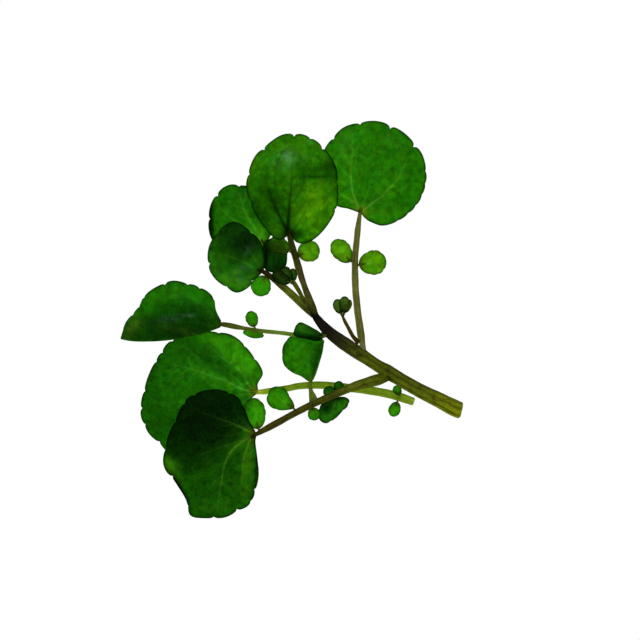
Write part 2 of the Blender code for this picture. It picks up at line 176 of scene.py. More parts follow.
class Blade:
    """A leaf blade spread from its centre to a closed margin whose first point is its base.

    notches are (x, y, depth), and ribs are main veins, each with its strength and its plan route.
    The tone patches are soft patches with amounts above 0 for lighter ones and below for darker ones,
    partly the blade's own tone and partly painted light and painted shade, such as the shade along a
    crease.
    The crease, rolled and sheen patches are patches too: hollows by their depths, painted shade on rolled
    edges, and glossy places.
    size scales the veins and the relief, and joint is where a leaflet's own stalk starts.
    """

    def __init__(self, node, margin, centre, notches=(), ribs=(), tones=(), creases=(), rolled=(),
                 sheen=(), flipped=False, size=1.0, joint=None):
        self.node = node
        self.margin = np.array(margin)
        self.centre = np.array(centre)
        self.notches = notches
        self.ribs = ribs
        self.tones = tones
        self.creases = creases
        self.rolled = rolled
        self.sheen = sheen
        self.flipped = flipped
        self.size = size
        self.joint = np.array(joint)


RIGHT_BLADE = Blade(
    "right_leaf_blade",
    [
        (17.0, 26.9, 2.3), (14.1, 28.0, 2.0), (11.1, 28.8, 1.6), (8.5, 31.9, 1.2), (7.4, 37.1, 1.0),
        (7.9, 41.9, 0.9), (10.4, 45.9, 0.7), (14.0, 48.6, 0.5), (20.0, 49.7, 0.35), (25.2, 48.4, 0.5),
        (29.9, 44.8, 0.9), (32.6, 40.6, 1.1), (33.4, 35.0, 0.8), (31.4, 29.4, 0.5), (27.2, 25.4, 0.6),
        (22.8, 23.8, 0.9), (19.5, 24.8, 1.5), (18.0, 25.9, 2.1),
    ],
    (20.9, 36.9, 3.2),
    notches=[
        (10.5, 45.2, 0.5), (16.9, 49.0, 0.6), (24.3, 47.9, 1.0), (30.3, 43.3, 1.0), (33.3, 37.4, 0.2),
        (33.3, 34.2, 0.2), (32.4, 31.4, 0.2), (31.0, 28.7, 0.2), (29.0, 26.9, 0.2), (26.4, 25.0, 0.15),
        (7.3, 39.0, 0.5), (8.4, 32.4, 0.4),
    ],
    ribs=[
        (1.0, [(17.0, 27.2), (16.6, 28.2), (15.5, 30.7), (14.8, 33.7), (14.6, 37.3), (14.9, 41.0),
               (15.3, 45.4)]),
        (1.0, [(17.0, 27.2), (18.2, 27.9), (20.6, 29.8), (22.4, 31.0), (23.9, 32.8), (26.0, 34.9),
               (29.0, 41.0)]),
        (0.6, [(17.0, 27.2), (15.8, 29.0), (14.0, 30.4), (12.2, 31.6), (10.4, 34.4), (9.6, 38.4)]),
        (0.35, [(17.0, 27.2), (18.8, 32.0), (20.0, 35.5), (21.5, 40.3), (22.6, 46.0)]),
        (0.35, [(17.0, 27.2), (19.6, 27.0), (23.4, 27.4), (27.2, 29.4), (30.0, 32.6)]),
    ],
    tones=[
        (11.0, 40.0, 7.0, 3.0, 80, 0.25), (22.0, 41.5, 6.0, 1.6, 80, -0.35),
        (19.3, 32.5, 2.6, 1.6, 80, -0.5), (23.0, 26.4, 7.0, 2.0, 5, 0.3),
        (13.0, 30.5, 4.0, 2.0, 150, 0.2), (29.0, 36.0, 8.0, 4.0, 88, -0.3),
        (19.0, 47.6, 7.0, 1.4, 0, 0.12),
    ],
    creases=[(22.0, 41.0, 6.0, 1.4, 80, 0.4)],
    sheen=[(12.6, 43.4, 3.0, 1.4, 60, 0.3), (25.6, 44.6, 3.0, 1.2, 140, 0.25)],
)

TOP_BLADE = Blade(
    "top_leaf_blade",
    [
        (-0.7, 21.2, 7.4), (-3.2, 20.1, 6.9), (-6.0, 21.9, 6.4), (-8.4, 25.4, 6.0), (-10.4, 29.4, 5.8),
        (-11.3, 33.6, 5.8), (-10.6, 37.6, 5.7), (-8.8, 41.3, 5.2), (-6.0, 43.9, 4.7), (-2.2, 46.2, 4.3),
        (1.9, 46.4, 4.0), (5.6, 44.9, 3.7), (8.9, 41.6, 3.4), (10.9, 37.6, 3.8), (11.3, 33.1, 4.3),
        (11.0, 28.3, 4.8), (9.4, 24.8, 5.4), (6.6, 21.4, 6.0), (3.6, 19.4, 6.6), (1.1, 19.6, 7.1),
    ],
    (-0.4, 33.6, 9.0),
    notches=[
        (-7.1, 42.7, 0.7), (0.5, 46.4, 0.9), (4.6, 45.5, 0.4), (7.6, 42.9, 0.6), (11.1, 34.6, 0.4),
        (10.6, 27.6, 0.3), (-11.0, 36.4, 0.4), (-9.9, 29.6, 0.4), (-6.4, 22.8, 0.3),
    ],
    ribs=[
        (1.9, [(-0.7, 21.2), (-1.1, 23.0), (-0.8, 27.0), (-0.4, 31.4), (-0.1, 35.8)]),
        (1.4, [(-0.7, 21.2), (-2.0, 23.8), (-3.5, 26.8), (-5.0, 30.1), (-5.8, 32.4)]),
        (0.35, [(-0.7, 21.2), (1.0, 23.4), (2.6, 26.0), (4.6, 29.6), (5.6, 33.6)]),
        (0.25, [(-0.1, 35.8), (0.0, 40.0), (0.3, 44.6)]),
        (0.25, [(-5.8, 32.4), (-6.1, 36.0), (-5.4, 40.6)]),
        (0.25, [(-0.7, 21.2), (-4.6, 24.0), (-7.2, 27.0), (-8.6, 30.2), (-9.3, 34.8)]),
        (0.25, [(-0.7, 21.2), (1.5, 21.6), (4.5, 23.2), (7.5, 26.5), (9.2, 30.0), (9.5, 34.4)]),
    ],
    tones=[
        (5.2, 28.6, 6.4, 4.2, 62, 0.8), (5.4, 35.6, 4.6, 0.55, 2, -0.9), (5.4, 37.2, 5.0, 1.7, 0, -0.5),
        (9.2, 38.6, 2.4, 2.4, 0, -0.4), (-10.0, 37.5, 5.0, 1.6, 80, 0.3),
        (-5.0, 30.5, 6.0, 2.0, 115, -0.7), (-1.6, 28.5, 5.0, 1.2, 95, -0.3),
        (-8.6, 27.0, 5.0, 1.6, 118, -0.35), (0.0, 43.6, 7.0, 1.6, 0, 0.2),
        (0.6, 21.4, 3.0, 1.4, 0, -0.9),
    ],
    creases=[(5.0, 35.9, 7.0, 0.8, 0, 0.5), (-6.0, 36.2, 4.5, 0.7, 8, 0.12)],
    sheen=[(-1.4, 40.2, 4.4, 2.2, 0, 1.0), (4.4, 40.4, 1.6, 1.3, 0, 1.0), (4.4, 44.2, 1.6, 1.2, 0, 1.0)],
    flipped=True,
)

BACK_BLADE = Blade(
    "back_leaf_blade",
    [
        (-7.1, 19.2, 3.9), (-7.6, 17.1, 3.4), (-10.1, 15.8, 2.6), (-13.6, 15.6, 1.8), (-17.1, 17.1, 1.0),
        (-19.9, 20.1, 0.6), (-20.9, 24.1, 0.35), (-20.4, 28.4, 0.4), (-18.6, 31.9, 0.6),
        (-15.4, 33.8, 0.8), (-11.6, 33.5, 1.2), (-8.1, 32.4, 1.8), (-5.6, 29.9, 2.4), (-4.6, 26.4, 3.0),
        (-4.9, 22.9, 3.5), (-6.0, 20.5, 3.8),
    ],
    (-12.9, 24.9, 3.6),
    notches=[
        (-18.9, 31.4, 0.7), (-20.8, 25.4, 0.4), (-18.7, 18.6, 0.4), (-13.4, 34.0, 0.5), (-7.4, 31.8, 0.5),
    ],
    ribs=[
        (1.0, [(-7.1, 19.2), (-9.0, 22.4), (-11.0, 25.6), (-12.4, 28.6), (-13.2, 32.0)]),
        (1.0, [(-7.1, 19.2), (-10.6, 22.2), (-13.6, 24.4), (-16.6, 26.6), (-18.8, 29.6)]),
        (0.6, [(-7.1, 19.2), (-11.0, 19.4), (-14.6, 20.2), (-18.0, 22.6), (-19.6, 25.2)]),
        (0.6, [(-7.1, 19.2), (-7.6, 22.0), (-7.4, 25.6), (-7.6, 29.6)]),
    ],
    tones=[
        (-17.0, 26.0, 5.0, 3.0, 80, 0.15), (-8.6, 21.4, 4.0, 2.0, 120, 0.7),
        (-12.0, 32.0, 5.0, 1.6, 0, -0.25),
    ],
    rolled=[(-20.3, 24.6, 7.0, 0.7, 93, 0.8)],
)

CUPPED_BLADE = Blade(
    "cupped_leaf_blade",
    [
        (-7.5, 12.2, 5.6), (-9.5, 10.2, 4.9), (-10.9, 8.4, 4.0), (-13.9, 7.1, 3.2), (-16.9, 8.6, 2.9),
        (-19.4, 10.8, 2.8), (-20.9, 13.6, 2.8), (-20.9, 17.1, 3.0), (-19.9, 20.0, 3.6),
        (-17.8, 22.8, 4.4), (-14.6, 24.4, 5.0), (-11.4, 22.9, 5.4), (-8.8, 20.6, 5.5), (-7.4, 17.9, 5.5),
        (-7.0, 14.6, 5.5),
    ],
    (-13.9, 15.9, 6.4),
    notches=[
        (-21.0, 14.0, 0.6), (-9.9, 9.6, 0.4), (-16.4, 8.2, 0.3), (-18.6, 22.0, 0.5), (-10.2, 21.8, 0.4),
    ],
    ribs=[
        (0.8, [(-7.5, 12.2), (-11.0, 14.0), (-14.0, 15.4), (-17.4, 16.4), (-20.0, 16.8)]),
        (0.8, [(-7.5, 12.2), (-10.0, 16.2), (-12.2, 19.0), (-14.2, 22.6)]),
        (0.6, [(-7.5, 12.2), (-11.0, 10.9), (-14.0, 9.9), (-17.2, 10.4)]),
        (0.4, [(-7.5, 12.2), (-12.0, 12.4), (-16.0, 13.0), (-19.2, 13.8)]),
    ],
    tones=[
        (-14.2, 10.0, 4.8, 1.6, -12, 0.6), (-19.2, 14.6, 5.0, 1.6, 100, 0.3),
        (-12.0, 18.6, 4.0, 3.0, 60, -0.8), (-15.0, 19.5, 3.0, 2.0, 30, -0.3),
    ],
    creases=[(-14.4, 12.6, 4.2, 1.0, -14, 0.4)],
    sheen=[
        (-14.6, 10.8, 2.8, 1.0, -20, 1.0), (-12.7, 12.4, 2.2, 1.4, 20, 1.0),
        (-10.6, 17.6, 1.8, 0.8, 60, 0.8),
    ],
)

LOOSE_BLADE = Blade(
    "loose_leaf_blade",
    [
        (-8.8, -18.0, 1.5), (-10.4, -19.6, 1.4), (-11.6, -22.9, 1.2), (-13.1, -26.9, 1.0),
        (-16.1, -31.4, 0.7), (-20.6, -35.1, 0.4), (-25.1, -36.1, 0.3), (-29.6, -34.1, 0.3),
        (-32.9, -31.0, 0.3), (-36.1, -27.7, 0.35), (-37.8, -23.6, 0.5), (-37.5, -19.4, 0.6),
        (-35.9, -14.1, 0.6), (-33.6, -9.2, 0.5), (-30.1, -4.9, 0.45), (-24.9, -3.1, 0.6),
        (-19.6, -2.9, 0.9), (-15.8, -3.6, 1.1), (-12.6, -5.6, 1.3), (-10.2, -8.5, 1.4),
        (-8.3, -11.0, 1.5), (-7.5, -13.4, 1.5), (-8.8, -15.9, 1.5),
    ],
    (-22.4, -19.1, 2.4),
    notches=[
        (-30.1, -4.9, 0.5), (-32.8, -7.6, 0.5), (-34.2, -10.2, 0.4), (-37.2, -17.5, 0.4),
        (-37.6, -22.0, 0.5), (-36.9, -26.0, 0.4), (-33.2, -30.2, 0.5), (-27.4, -35.4, 0.5),
        (-18.4, -3.4, 0.3), (-13.4, -7.6, 0.25), (-10.4, -10.4, 0.25), (-17.8, -33.2, 0.4),
    ],
    ribs=[
        (1.0, [(-8.8, -18.0), (-12.0, -17.3), (-16.8, -15.1), (-20.2, -13.9), (-23.6, -12.6),
               (-30.6, -10.8)]),
        (0.8, [(-8.8, -18.0), (-11.0, -16.0), (-12.7, -13.0), (-15.0, -10.9), (-18.0, -9.0),
               (-22.0, -5.0)]),
        (0.4, [(-8.8, -18.0), (-14.0, -21.5), (-20.0, -24.5), (-26.5, -27.5), (-31.0, -30.2)]),
        (0.5, [(-8.8, -18.0), (-17.0, -19.2), (-24.0, -20.0), (-31.0, -20.5), (-36.2, -20.8)]),
        (0.3, [(-8.8, -18.0), (-12.4, -22.6), (-16.4, -28.0), (-20.6, -33.0)]),
        (0.5, [(-8.8, -18.0), (-9.8, -15.6), (-10.8, -12.6), (-12.4, -9.2)]),
    ],
    tones=[
        (-12.2, -9.6, 6.0, 4.0, 130, 0.9), (-19.0, -4.8, 5.0, 1.8, 170, 0.45),
        (-19.4, -10.6, 8.0, 1.7, 145, -0.7), (-29.0, -8.0, 5.0, 3.0, 40, -0.3),
        (-18.0, -14.8, 7.0, 1.4, 162, 0.5), (-34.0, -18.0, 9.0, 3.0, 85, -0.4),
        (-31.0, -27.0, 7.0, 4.0, 140, -0.5),
    ],
)

FRONT_BLADE = Blade(
    "front_leaf_blade",
    [
        (-9.2, -28.2, 3.5), (-9.4, -30.4, 3.2), (-8.9, -34.4, 2.6), (-8.5, -38.6, 1.9),
        (-9.2, -42.4, 1.3), (-10.7, -45.8, 0.8), (-13.7, -47.6, 0.5), (-17.4, -49.2, 0.35),
        (-21.9, -49.3, 0.35), (-25.5, -48.5, 0.5), (-26.6, -44.5, 0.9), (-28.9, -40.7, 1.3),
        (-31.4, -37.6, 1.6), (-32.1, -34.3, 2.0), (-30.9, -29.1, 2.6), (-28.9, -24.4, 3.1),
        (-26.7, -20.1, 3.4), (-23.4, -18.0, 3.6), (-18.9, -17.4, 3.8), (-15.1, -18.3, 3.9),
        (-12.5, -20.8, 3.9), (-10.9, -25.0, 3.8),
    ],
    (-20.1, -32.9, 4.4),
    notches=[
        (-27.1, -20.4, 0.5), (-24.4, -18.4, 0.5), (-15.6, -17.9, 0.4), (-12.4, -21.0, 0.4),
        (-9.3, -42.4, 0.5), (-13.8, -47.4, 0.6), (-19.6, -49.3, 0.4), (-26.0, -46.6, 0.5),
        (-30.0, -38.8, 0.6), (-31.3, -31.9, 0.5), (-29.3, -25.2, 0.3), (-10.3, -45.2, 0.3),
    ],
    ribs=[
        (0.8, [(-9.2, -28.2), (-10.4, -29.6), (-11.7, -32.9), (-12.3, -35.5), (-12.9, -43.8)]),
        (1.0, [(-9.2, -28.2), (-10.7, -29.0), (-14.9, -32.2), (-16.9, -36.1), (-17.7, -40.4),
               (-18.8, -47.2)]),
        (1.0, [(-9.2, -28.2), (-10.7, -27.7), (-14.9, -25.7), (-20.1, -23.8), (-25.0, -21.9)]),
        (0.5, [(-9.2, -28.2), (-12.0, -29.6), (-16.9, -31.2), (-23.0, -33.4), (-29.4, -35.4)]),
        (0.3, [(-9.2, -28.2), (-15.0, -30.6), (-20.4, -35.0), (-23.8, -40.4), (-25.0, -45.4)]),
        (0.3, [(-9.2, -28.2), (-11.8, -25.6), (-14.6, -22.4), (-17.6, -19.6)]),
    ],
    tones=[
        (-11.2, -37.0, 8.0, 1.6, 88, 0.6), (-30.2, -36.0, 3.4, 1.5, 120, 0.8),
        (-18.0, -39.0, 7.0, 4.0, 70, -0.1), (-17.0, -46.4, 6.0, 1.6, 0, 0.2),
        (-20.0, -25.0, 8.0, 6.0, 20, -0.5), (-14.0, -31.0, 5.0, 1.6, 40, 0.3),
    ],
    rolled=[(-28.2, -42.2, 4.2, 0.8, 118, 1.0), (-9.0, -37.0, 6.0, 0.35, 86, 0.6)],
)

CURLED_BLADE = Blade(
    "front_leaf_curled_lower_leaflet",
    [
        (10.9, -19.4, 2.8), (8.9, -20.1, 2.5), (7.0, -21.3, 2.3), (6.4, -23.1, 2.0), (7.1, -24.9, 2.1),
        (8.6, -25.6, 2.2), (10.3, -24.7, 2.4), (12.0, -23.1, 2.5), (13.7, -21.5, 2.6), (14.2, -20.0, 2.7),
        (12.9, -19.2, 2.8),
    ],
    (10.4, -22.1, 1.1),
    notches=[(6.7, -22.0, 0.3), (9.4, -25.2, 0.3), (12.8, -22.4, 0.3), (14.3, -20.8, 0.3)],
    ribs=[
        (1.0, [(10.9, -19.4), (10.4, -21.6), (9.4, -24.4)]),
        (0.6, [(10.9, -19.4), (12.0, -20.8), (13.2, -21.2)]),
    ],
    tones=[(8.6, -21.6, 1.8, 1.3, 30, -1.0), (11.6, -22.6, 2.4, 1.0, 45, 0.4)],
)


class FoldedBlade(Blade):
    """A blade doubled along its midrib. fold and margin run from its base to its tip, and profile
    gives the section: the share of the way from the fold to the margin, and the lift in millimetres.
    Each of its ribs is a share of the way to the margin and a share of the way along the fold. It
    has no centre."""

    def __init__(self, node, fold, margin, profile, fold_index, **details):
        super().__init__(node, margin, centre=None, **details)
        self.fold = np.array(fold)
        self.profile = np.array(profile)
        self.fold_index = fold_index


FOLDED_BLADE = FoldedBlade(
    "folded_leaf_blade",
    [
        (-17.9, -1.6, 4.1), (-21.4, -2.9, 3.8), (-25.4, -3.9, 3.4), (-29.4, -4.6, 2.9),
        (-34.4, -5.2, 2.0), (-40.6, -5.1, 1.5), (-42.8, -4.5, 1.25),
    ],
    [
        (-17.8, -0.1, 4.2), (-19.1, 2.5, 3.3), (-19.7, 5.6, 2.2), (-22.9, 8.2, 1.3), (-27.1, 9.4, 0.9),
        (-30.6, 9.7, 0.7), (-33.8, 8.3, 0.7), (-36.9, 6.2, 0.7), (-38.6, 3.1, 0.8), (-41.4, -0.4, 1.0),
        (-42.6, -3.6, 1.2),
    ],
    [
        (1.0, 0.0), (0.75, 1.0), (0.5, 1.6), (0.28, 1.6), (0.1, 0.9), (0.0, 0.0), (0.08, -0.7),
        (0.28, -0.9), (0.55, -0.8),
    ],
    5,
    notches=[
        (-41.6, -2.9, 0.5), (-39.5, 1.4, 0.6), (-37.6, 3.4, 0.6), (-37.2, 6.0, 0.4), (-31.9, 9.4, 0.6),
        (-26.2, 9.0, 0.4), (-23.3, 8.0, 0.4), (-19.5, 5.5, 0.3),
    ],
    ribs=[(0.35, 0.62), (0.9, 0.6)],
    tones=[
        (-36.0, -4.2, 6.0, 0.8, 178, 0.25), (-27.0, -2.6, 8.0, 1.2, 170, 0.9),
        (-31.0, 6.6, 5.0, 2.0, 20, 0.15), (-21.0, 0.8, 2.4, 2.4, 0, -0.3),
        (-40.0, -2.0, 3.4, 1.6, 50, 1.0),
    ],
    sheen=[(-30.8, 0.4, 2.4, 0.9, 0, 0.9), (-26.2, 1.2, 2.0, 0.4, 0, 0.9)],
)

LARGE_LEAFLET = FoldedBlade(
    "front_leaf_large_leaflet",
    [(4.8, -15.4, 3.7), (5.8, -13.4, 3.8), (6.8, -10.1, 3.7), (7.5, -7.4, 3.4), (7.9, -5.2, 2.9)],
    [
        (3.9, -15.1, 3.7), (2.4, -14.0, 3.7), (0.2, -13.1, 3.5), (-1.8, -11.4, 3.3), (-2.5, -8.6, 3.0),
        (-1.9, -5.7, 2.8), (-0.1, -3.9, 2.5), (3.6, -3.2, 2.5), (7.2, -4.2, 2.8),
    ],
    [(1.0, 0.0), (0.7, 0.5), (0.4, 0.7), (0.15, 0.5), (0.0, 0.0), (0.08, -0.45), (0.22, -0.5)],
    4,
    size=0.7,
    notches=[(-1.4, -11.9, 0.1), (-2.4, -8.6, 0.1), (-1.4, -5.0, 0.1), (3.0, -3.3, 0.1)],
    ribs=[(0.3, 0.7)],
    tones=[
        (3.4, -4.6, 4.4, 0.9, 175, -0.3), (1.8, -9.6, 4.4, 3.0, 100, 0.35),
        (6.6, -10.0, 5.0, 0.6, 75, -0.1),
    ],
)


@dataclass
class Stalk:
    """A stalk or stem swept along a route, with radii in millimetres spread evenly over it.

    swellings are (x, y, height, half length), and the painted lit direction is the way that its side with
    painted light faces.
    """

    node: str
    look: str
    route: list
    radii: list
    ridges: int = 5
    swellings: tuple = ()
    pale_side: tuple = (-1.0, 0.0, 0.0)


MAIN_STEM = Stalk(
    "main_stem",
    "stem",
    [
        (42.3, -22.6, 2.25), (41.4, -22.35, 2.2), (40.2, -21.8, 2.15), (36.1, -19.7, 2.1),
        (30.9, -17.1, 2.1), (24.9, -13.6, 2.5), (20.4, -10.8, 2.8), (15.9, -7.8, 3.1), (11.6, -4.9, 3.5),
        (8.3, -2.1, 3.8), (5.6, 1.2, 4.3), (4.3, 3.6, 4.7),
    ],
    [2.0, 1.95, 1.8, 1.72, 1.66, 1.5, 1.55, 1.68, 1.5, 1.1, 0.6],
    ridges=7,
    swellings=[(23.6, -12.8, 0.2, 1.8), (16.6, -8.2, 0.1, 1.6), (40.4, -21.9, 0.08, 2.0)],
    pale_side=(0.3, -0.9, 0.3),
)

RIGHT_STALK = Stalk(
    "right_leaf_stalk",
    "split_stalk",
    [
        (17.8, -7.8, 2.9), (17.3, -5.2, 3.5), (16.8, -1.9, 3.5), (16.2, 2.9, 3.3), (15.75, 7.6, 3.1),
        (15.6, 14.6, 2.8), (16.1, 20.9, 2.5), (16.8, 26.4, 2.2), (17.1, 28.4, 2.05),
    ],
    [0.6, 0.95, 0.88, 0.86, 0.84, 0.8, 0.76, 0.66, 0.35],
)

TOP_STALK = Stalk(
    "top_leaf_stalk",
    "dark_stalk",
    [
        (6.1, 0.6, 4.1), (4.9, 3.0, 4.6), (3.9, 6.0, 5.1), (2.8, 9.0, 5.5), (1.8, 12.2, 6.0),
        (1.0, 15.0, 6.4), (0.2, 17.6, 6.8), (-0.6, 20.7, 7.2), (-0.9, 22.6, 7.5),
    ],
    [0.7, 1.1, 0.9, 0.74, 0.82, 0.84, 0.8, 0.76, 0.6],
)

BACK_STALK = Stalk(
    "back_leaf_stalk",
    "stalk",
    [
        (5.4, 1.4, 3.3), (4.2, 3.0, 2.8), (2.7, 5.2, 2.8), (1.2, 8.2, 3.3), (-1.6, 12.1, 3.7),
        (-4.4, 15.9, 3.8), (-6.6, 18.6, 3.9), (-7.8, 20.2, 3.8),
    ],
    [0.6, 0.52, 0.5, 0.5, 0.5, 0.5, 0.45, 0.25],
)

CUPPED_STALK = Stalk(
    "cupped_leaf_stalk",
    "olive_stalk",
    [
        (6.2, 0.4, 3.8), (4.1, 2.5, 4.2), (1.8, 4.6, 4.5), (-0.9, 7.1, 4.85), (-2.8, 8.7, 5.15),
        (-4.7, 10.3, 5.4), (-6.9, 11.9, 5.5), (-8.8, 12.8, 5.5),
    ],
    [0.7, 1.0, 0.96, 0.92, 0.88, 0.8, 0.7, 0.3],
)

FOLDED_STALK = Stalk(
    "folded_leaf_stalk",
    "thin_stalk",
    [
        (9.0, -3.2, 3.8), (7.2, -3.7, 3.9), (1.1, -3.6, 4.0), (-3.1, -3.1, 4.1), (-8.1, -2.6, 4.2),
        (-13.1, -1.8, 4.2), (-17.4, -1.0, 4.2), (-19.2, -0.9, 4.1),
    ],
    [0.75, 0.58, 0.54, 0.52, 0.5, 0.52, 0.66, 0.4],
)

LOOSE_STALK = Stalk(
    "loose_leaf_stalk",
    "pale_stalk",
    [
        (30.4, -20.4, 1.15), (26.3, -19.0, 1.12), (22.5, -18.1, 1.1), (18.4, -17.4, 1.1),
        (15.0, -17.0, 1.05), (11.9, -16.6, 1.0), (6.9, -16.2, 1.05), (1.9, -16.4, 1.15),
        (-1.1, -17.0, 1.25), (-5.1, -17.6, 1.4), (-8.1, -17.9, 1.45), (-10.4, -17.8, 1.45),
    ],
    [1.05, 1.1, 1.08, 1.05, 1.0, 0.95, 0.9, 0.84, 0.8, 0.74, 0.4],
    pale_side=(0.0, -1.0, 0.2),
)

FRONT_STALK = Stalk(
    "front_leaf_stalk",
    "stalk",
    [
        (25.2, -13.9, 2.6), (23.4, -14.2, 2.9), (21.4, -14.8, 3.3), (19.2, -15.4, 3.7),
        (14.4, -16.9, 4.0), (9.4, -19.0, 4.1), (5.1, -20.9, 4.1), (0.6, -23.2, 3.9),
        (-5.6, -26.6, 3.6), (-8.8, -28.3, 3.5), (-10.4, -29.3, 3.4),
    ],
    [0.9, 1.4, 1.25, 1.06, 0.96, 0.9, 0.88, 0.84, 0.82, 0.74, 0.35],
    pale_side=(0.3, 0.6, 0.6),
)

LARGE_LEAFLET_STALK = Stalk(
    "front_leaf_large_leaflet_stalk",
    "green_stalk",
    [(5.3, -20.6, 4.05), (5.1, -19.4, 4.1), (4.7, -17.9, 4.0), (4.4, -16.1, 3.8), (4.9, -14.4, 3.75)],
    [1.2, 0.95, 0.5, 0.36, 0.25],
)

SHOOT_TIP_STALK = Stalk(
    "shoot_tip_stalk",
    "stalk",
    [(3.3, 4.3, 4.7), (2.3, 6.1, 4.9), (1.2, 7.9, 5.1), (0.2, 9.2, 5.3), (-0.2, 9.9, 5.35)],
    [0.7, 0.5, 0.46, 0.42, 0.2],
)

SIDE_SHOOT_STALK = Stalk(
    "side_shoot_stalk",
    "brown_stalk",
    [
        (16.6, -5.6, 4.0), (15.2, -4.1, 4.4), (13.8, -1.6, 4.7), (13.0, -0.1, 4.8), (12.5, 1.1, 4.9),
        (12.3, 1.9, 4.95),
    ],
    [0.7, 0.52, 0.48, 0.44, 0.4, 0.2],
)


def leaflet_size(width):
    """How large a leaflet's veins and relief are beside a big blade's."""
    return min(1.0, LEAFLET_SCALE + width / LARGE_LEAFLET_WIDTH)


def leaflet(node, base, tip, width, joint, crown=0.3):
    """A small oval blade from base to tip, which crown lifts at its middle."""
    base, tip = np.array(base), np.array(tip)
    along = tip - base
    across = np.array((along[1], -along[0], 0.0)) / math.hypot(along[0], along[1]) * width / 2
    angles = np.arange(LEAFLET_MARGIN_POINTS) * math.tau / LEAFLET_MARGIN_POINTS
    shares = (1 - np.cos(angles)) / 2
    breadths = np.sin(angles) * (1 - LEAFLET_TAPER * np.cos(angles))
    margin = base + along * shares[:, None] + across * breadths[:, None]
    centre = base + along / 2 + np.array((0.0, 0.0, crown))
    notches = []
    for share in LEAFLET_NOTCHES:
        for side in (-1, 1):
            angle = math.acos(1 - 2 * share)
            point = base + along * share + across * side * math.sin(angle)
            notches.append((point[0], point[1], LEAFLET_NOTCH_DEPTH * width))
    ribs = [(1.0, [base[:2], *((base + along * share)[:2] for share in LEAFLET_MIDRIB)])]
    for side in (-1, 1):
        stops = [base + along * share + across * side * breadth for share, breadth in LEAFLET_SIDE_RIB]
        ribs.append((LEAFLET_SIDE_STRENGTH, [base[:2], *(stop[:2] for stop in stops)]))
    return Blade(node, margin, centre, notches, ribs, size=leaflet_size(width), joint=joint)


def shaped_leaflet(node, margin, centre, joint, width, notches=(), **patches):
    """A leaflet with its own margin, whose midrib runs from its base over its centre."""
    base, centre = np.array(margin[0]), np.array(centre)
    tip = base + (centre - base) * SHAPED_RIB_REACH
    ribs = [(1.0, [base[:2], centre[:2], tip[:2]])]
    return Blade(node, margin, centre, notches, ribs, size=leaflet_size(width), joint=joint, **patches)


RIGHT_LEAFLETS = [
    leaflet("right_leaf_left_leaflet", (14.4, 14.8, 2.8), (10.3, 19.8, 2.0), 4.8, (15.6, 14.5, 2.8)),
    leaflet("right_leaf_right_leaflet", (16.8, 13.9, 2.9), (23.3, 14.9, 1.8), 6.1, (15.7, 13.6, 2.8)),
]
TOP_LEAFLETS = [
    leaflet("top_leaf_left_leaflet", (-0.9, 17.3, 6.1), (-5.6, 19.9, 5.6), 4.4, (0.6, 16.4, 6.6)),
    leaflet("top_leaf_right_leaflet", (1.7, 16.2, 6.3), (6.5, 18.3, 5.6), 5.5, (0.8, 15.6, 6.4)),
]
CUPPED_UPPER_LEAFLET = shaped_leaflet(
    "cupped_leaf_upper_leaflet",
    [
        (-3.9, 11.9, 5.0), (-6.25, 12.3, 4.9), (-7.15, 13.6, 4.8), (-7.35, 15.8, 4.7),
        (-7.25, 18.2, 4.6), (-6.35, 20.0, 4.6), (-3.9, 20.5, 4.6), (-2.3, 20.1, 4.6),
        (-1.4, 18.4, 4.7), (-1.3, 16.2, 4.8), (-1.5, 14.0, 4.9), (-2.5, 12.5, 5.0),
    ],
    (-3.9, 16.2, 5.1),
    (-3.4, 10.2, 5.1),
    6.0,
    rolled=[(-6.5, 15.6, 3.4, 0.5, 88, 0.9)],
)
CUPPED_LOWER_LEAFLET = leaflet(
    "cupped_leaf_lower_leaflet", (-6.8, 10.9, 4.75), (-8.7, 6.3, 4.1), 5.0, (-5.6, 10.9, 5.3)
)
FOLDED_LEAFLETS = [
    leaflet("folded_leaf_upper_leaflet", (-9.5, -1.5, 4.3), (-10.6, 2.2, 4.0), 3.1, (-9.2, -2.4, 4.2)),
    leaflet("folded_leaf_lower_leaflet", (-9.5, -2.2, 3.4), (-9.9, -4.3, 2.0), 5.4, (-9.2, -2.6, 4.0)),
]
FOLDED_BASE_LEAFLET = shaped_leaflet(
    "folded_leaf_base_leaflet",
    [
        (7.7, -4.2, 5.2), (6.4, -5.1, 5.2), (4.7, -4.9, 5.2), (3.1, -4.5, 5.3), (1.5, -4.2, 5.4),
        (0.4, -3.6, 5.5), (0.5, -2.4, 5.6), (1.1, -1.1, 5.6), (2.1, -0.5, 5.6), (3.6, -1.1, 5.5),
        (5.3, -2.0, 5.4), (6.8, -2.9, 5.3),
    ],
    (3.4, -2.9, 5.9),
    (8.6, -3.4, 4.3),
    3.7,
    tones=[(3.4, -4.2, 4.0, 0.9, -6, -1.0), (3.0, -2.2, 3.0, 0.9, 160, 0.5)],
)
LOOSE_LEAFLETS = [
    leaflet(
        "loose_leaf_upper_leaflet", (26.8, -18.5, 2.1), (25.6, -16.4, 1.7), 2.2, (26.6, -19.0, 1.5), 0.1
    ),
    leaflet(
        "loose_leaf_lower_leaflet", (26.2, -20.5, 1.2), (24.9, -23.9, 0.7), 3.0, (26.4, -19.4, 1.1), 0.1
    ),
]
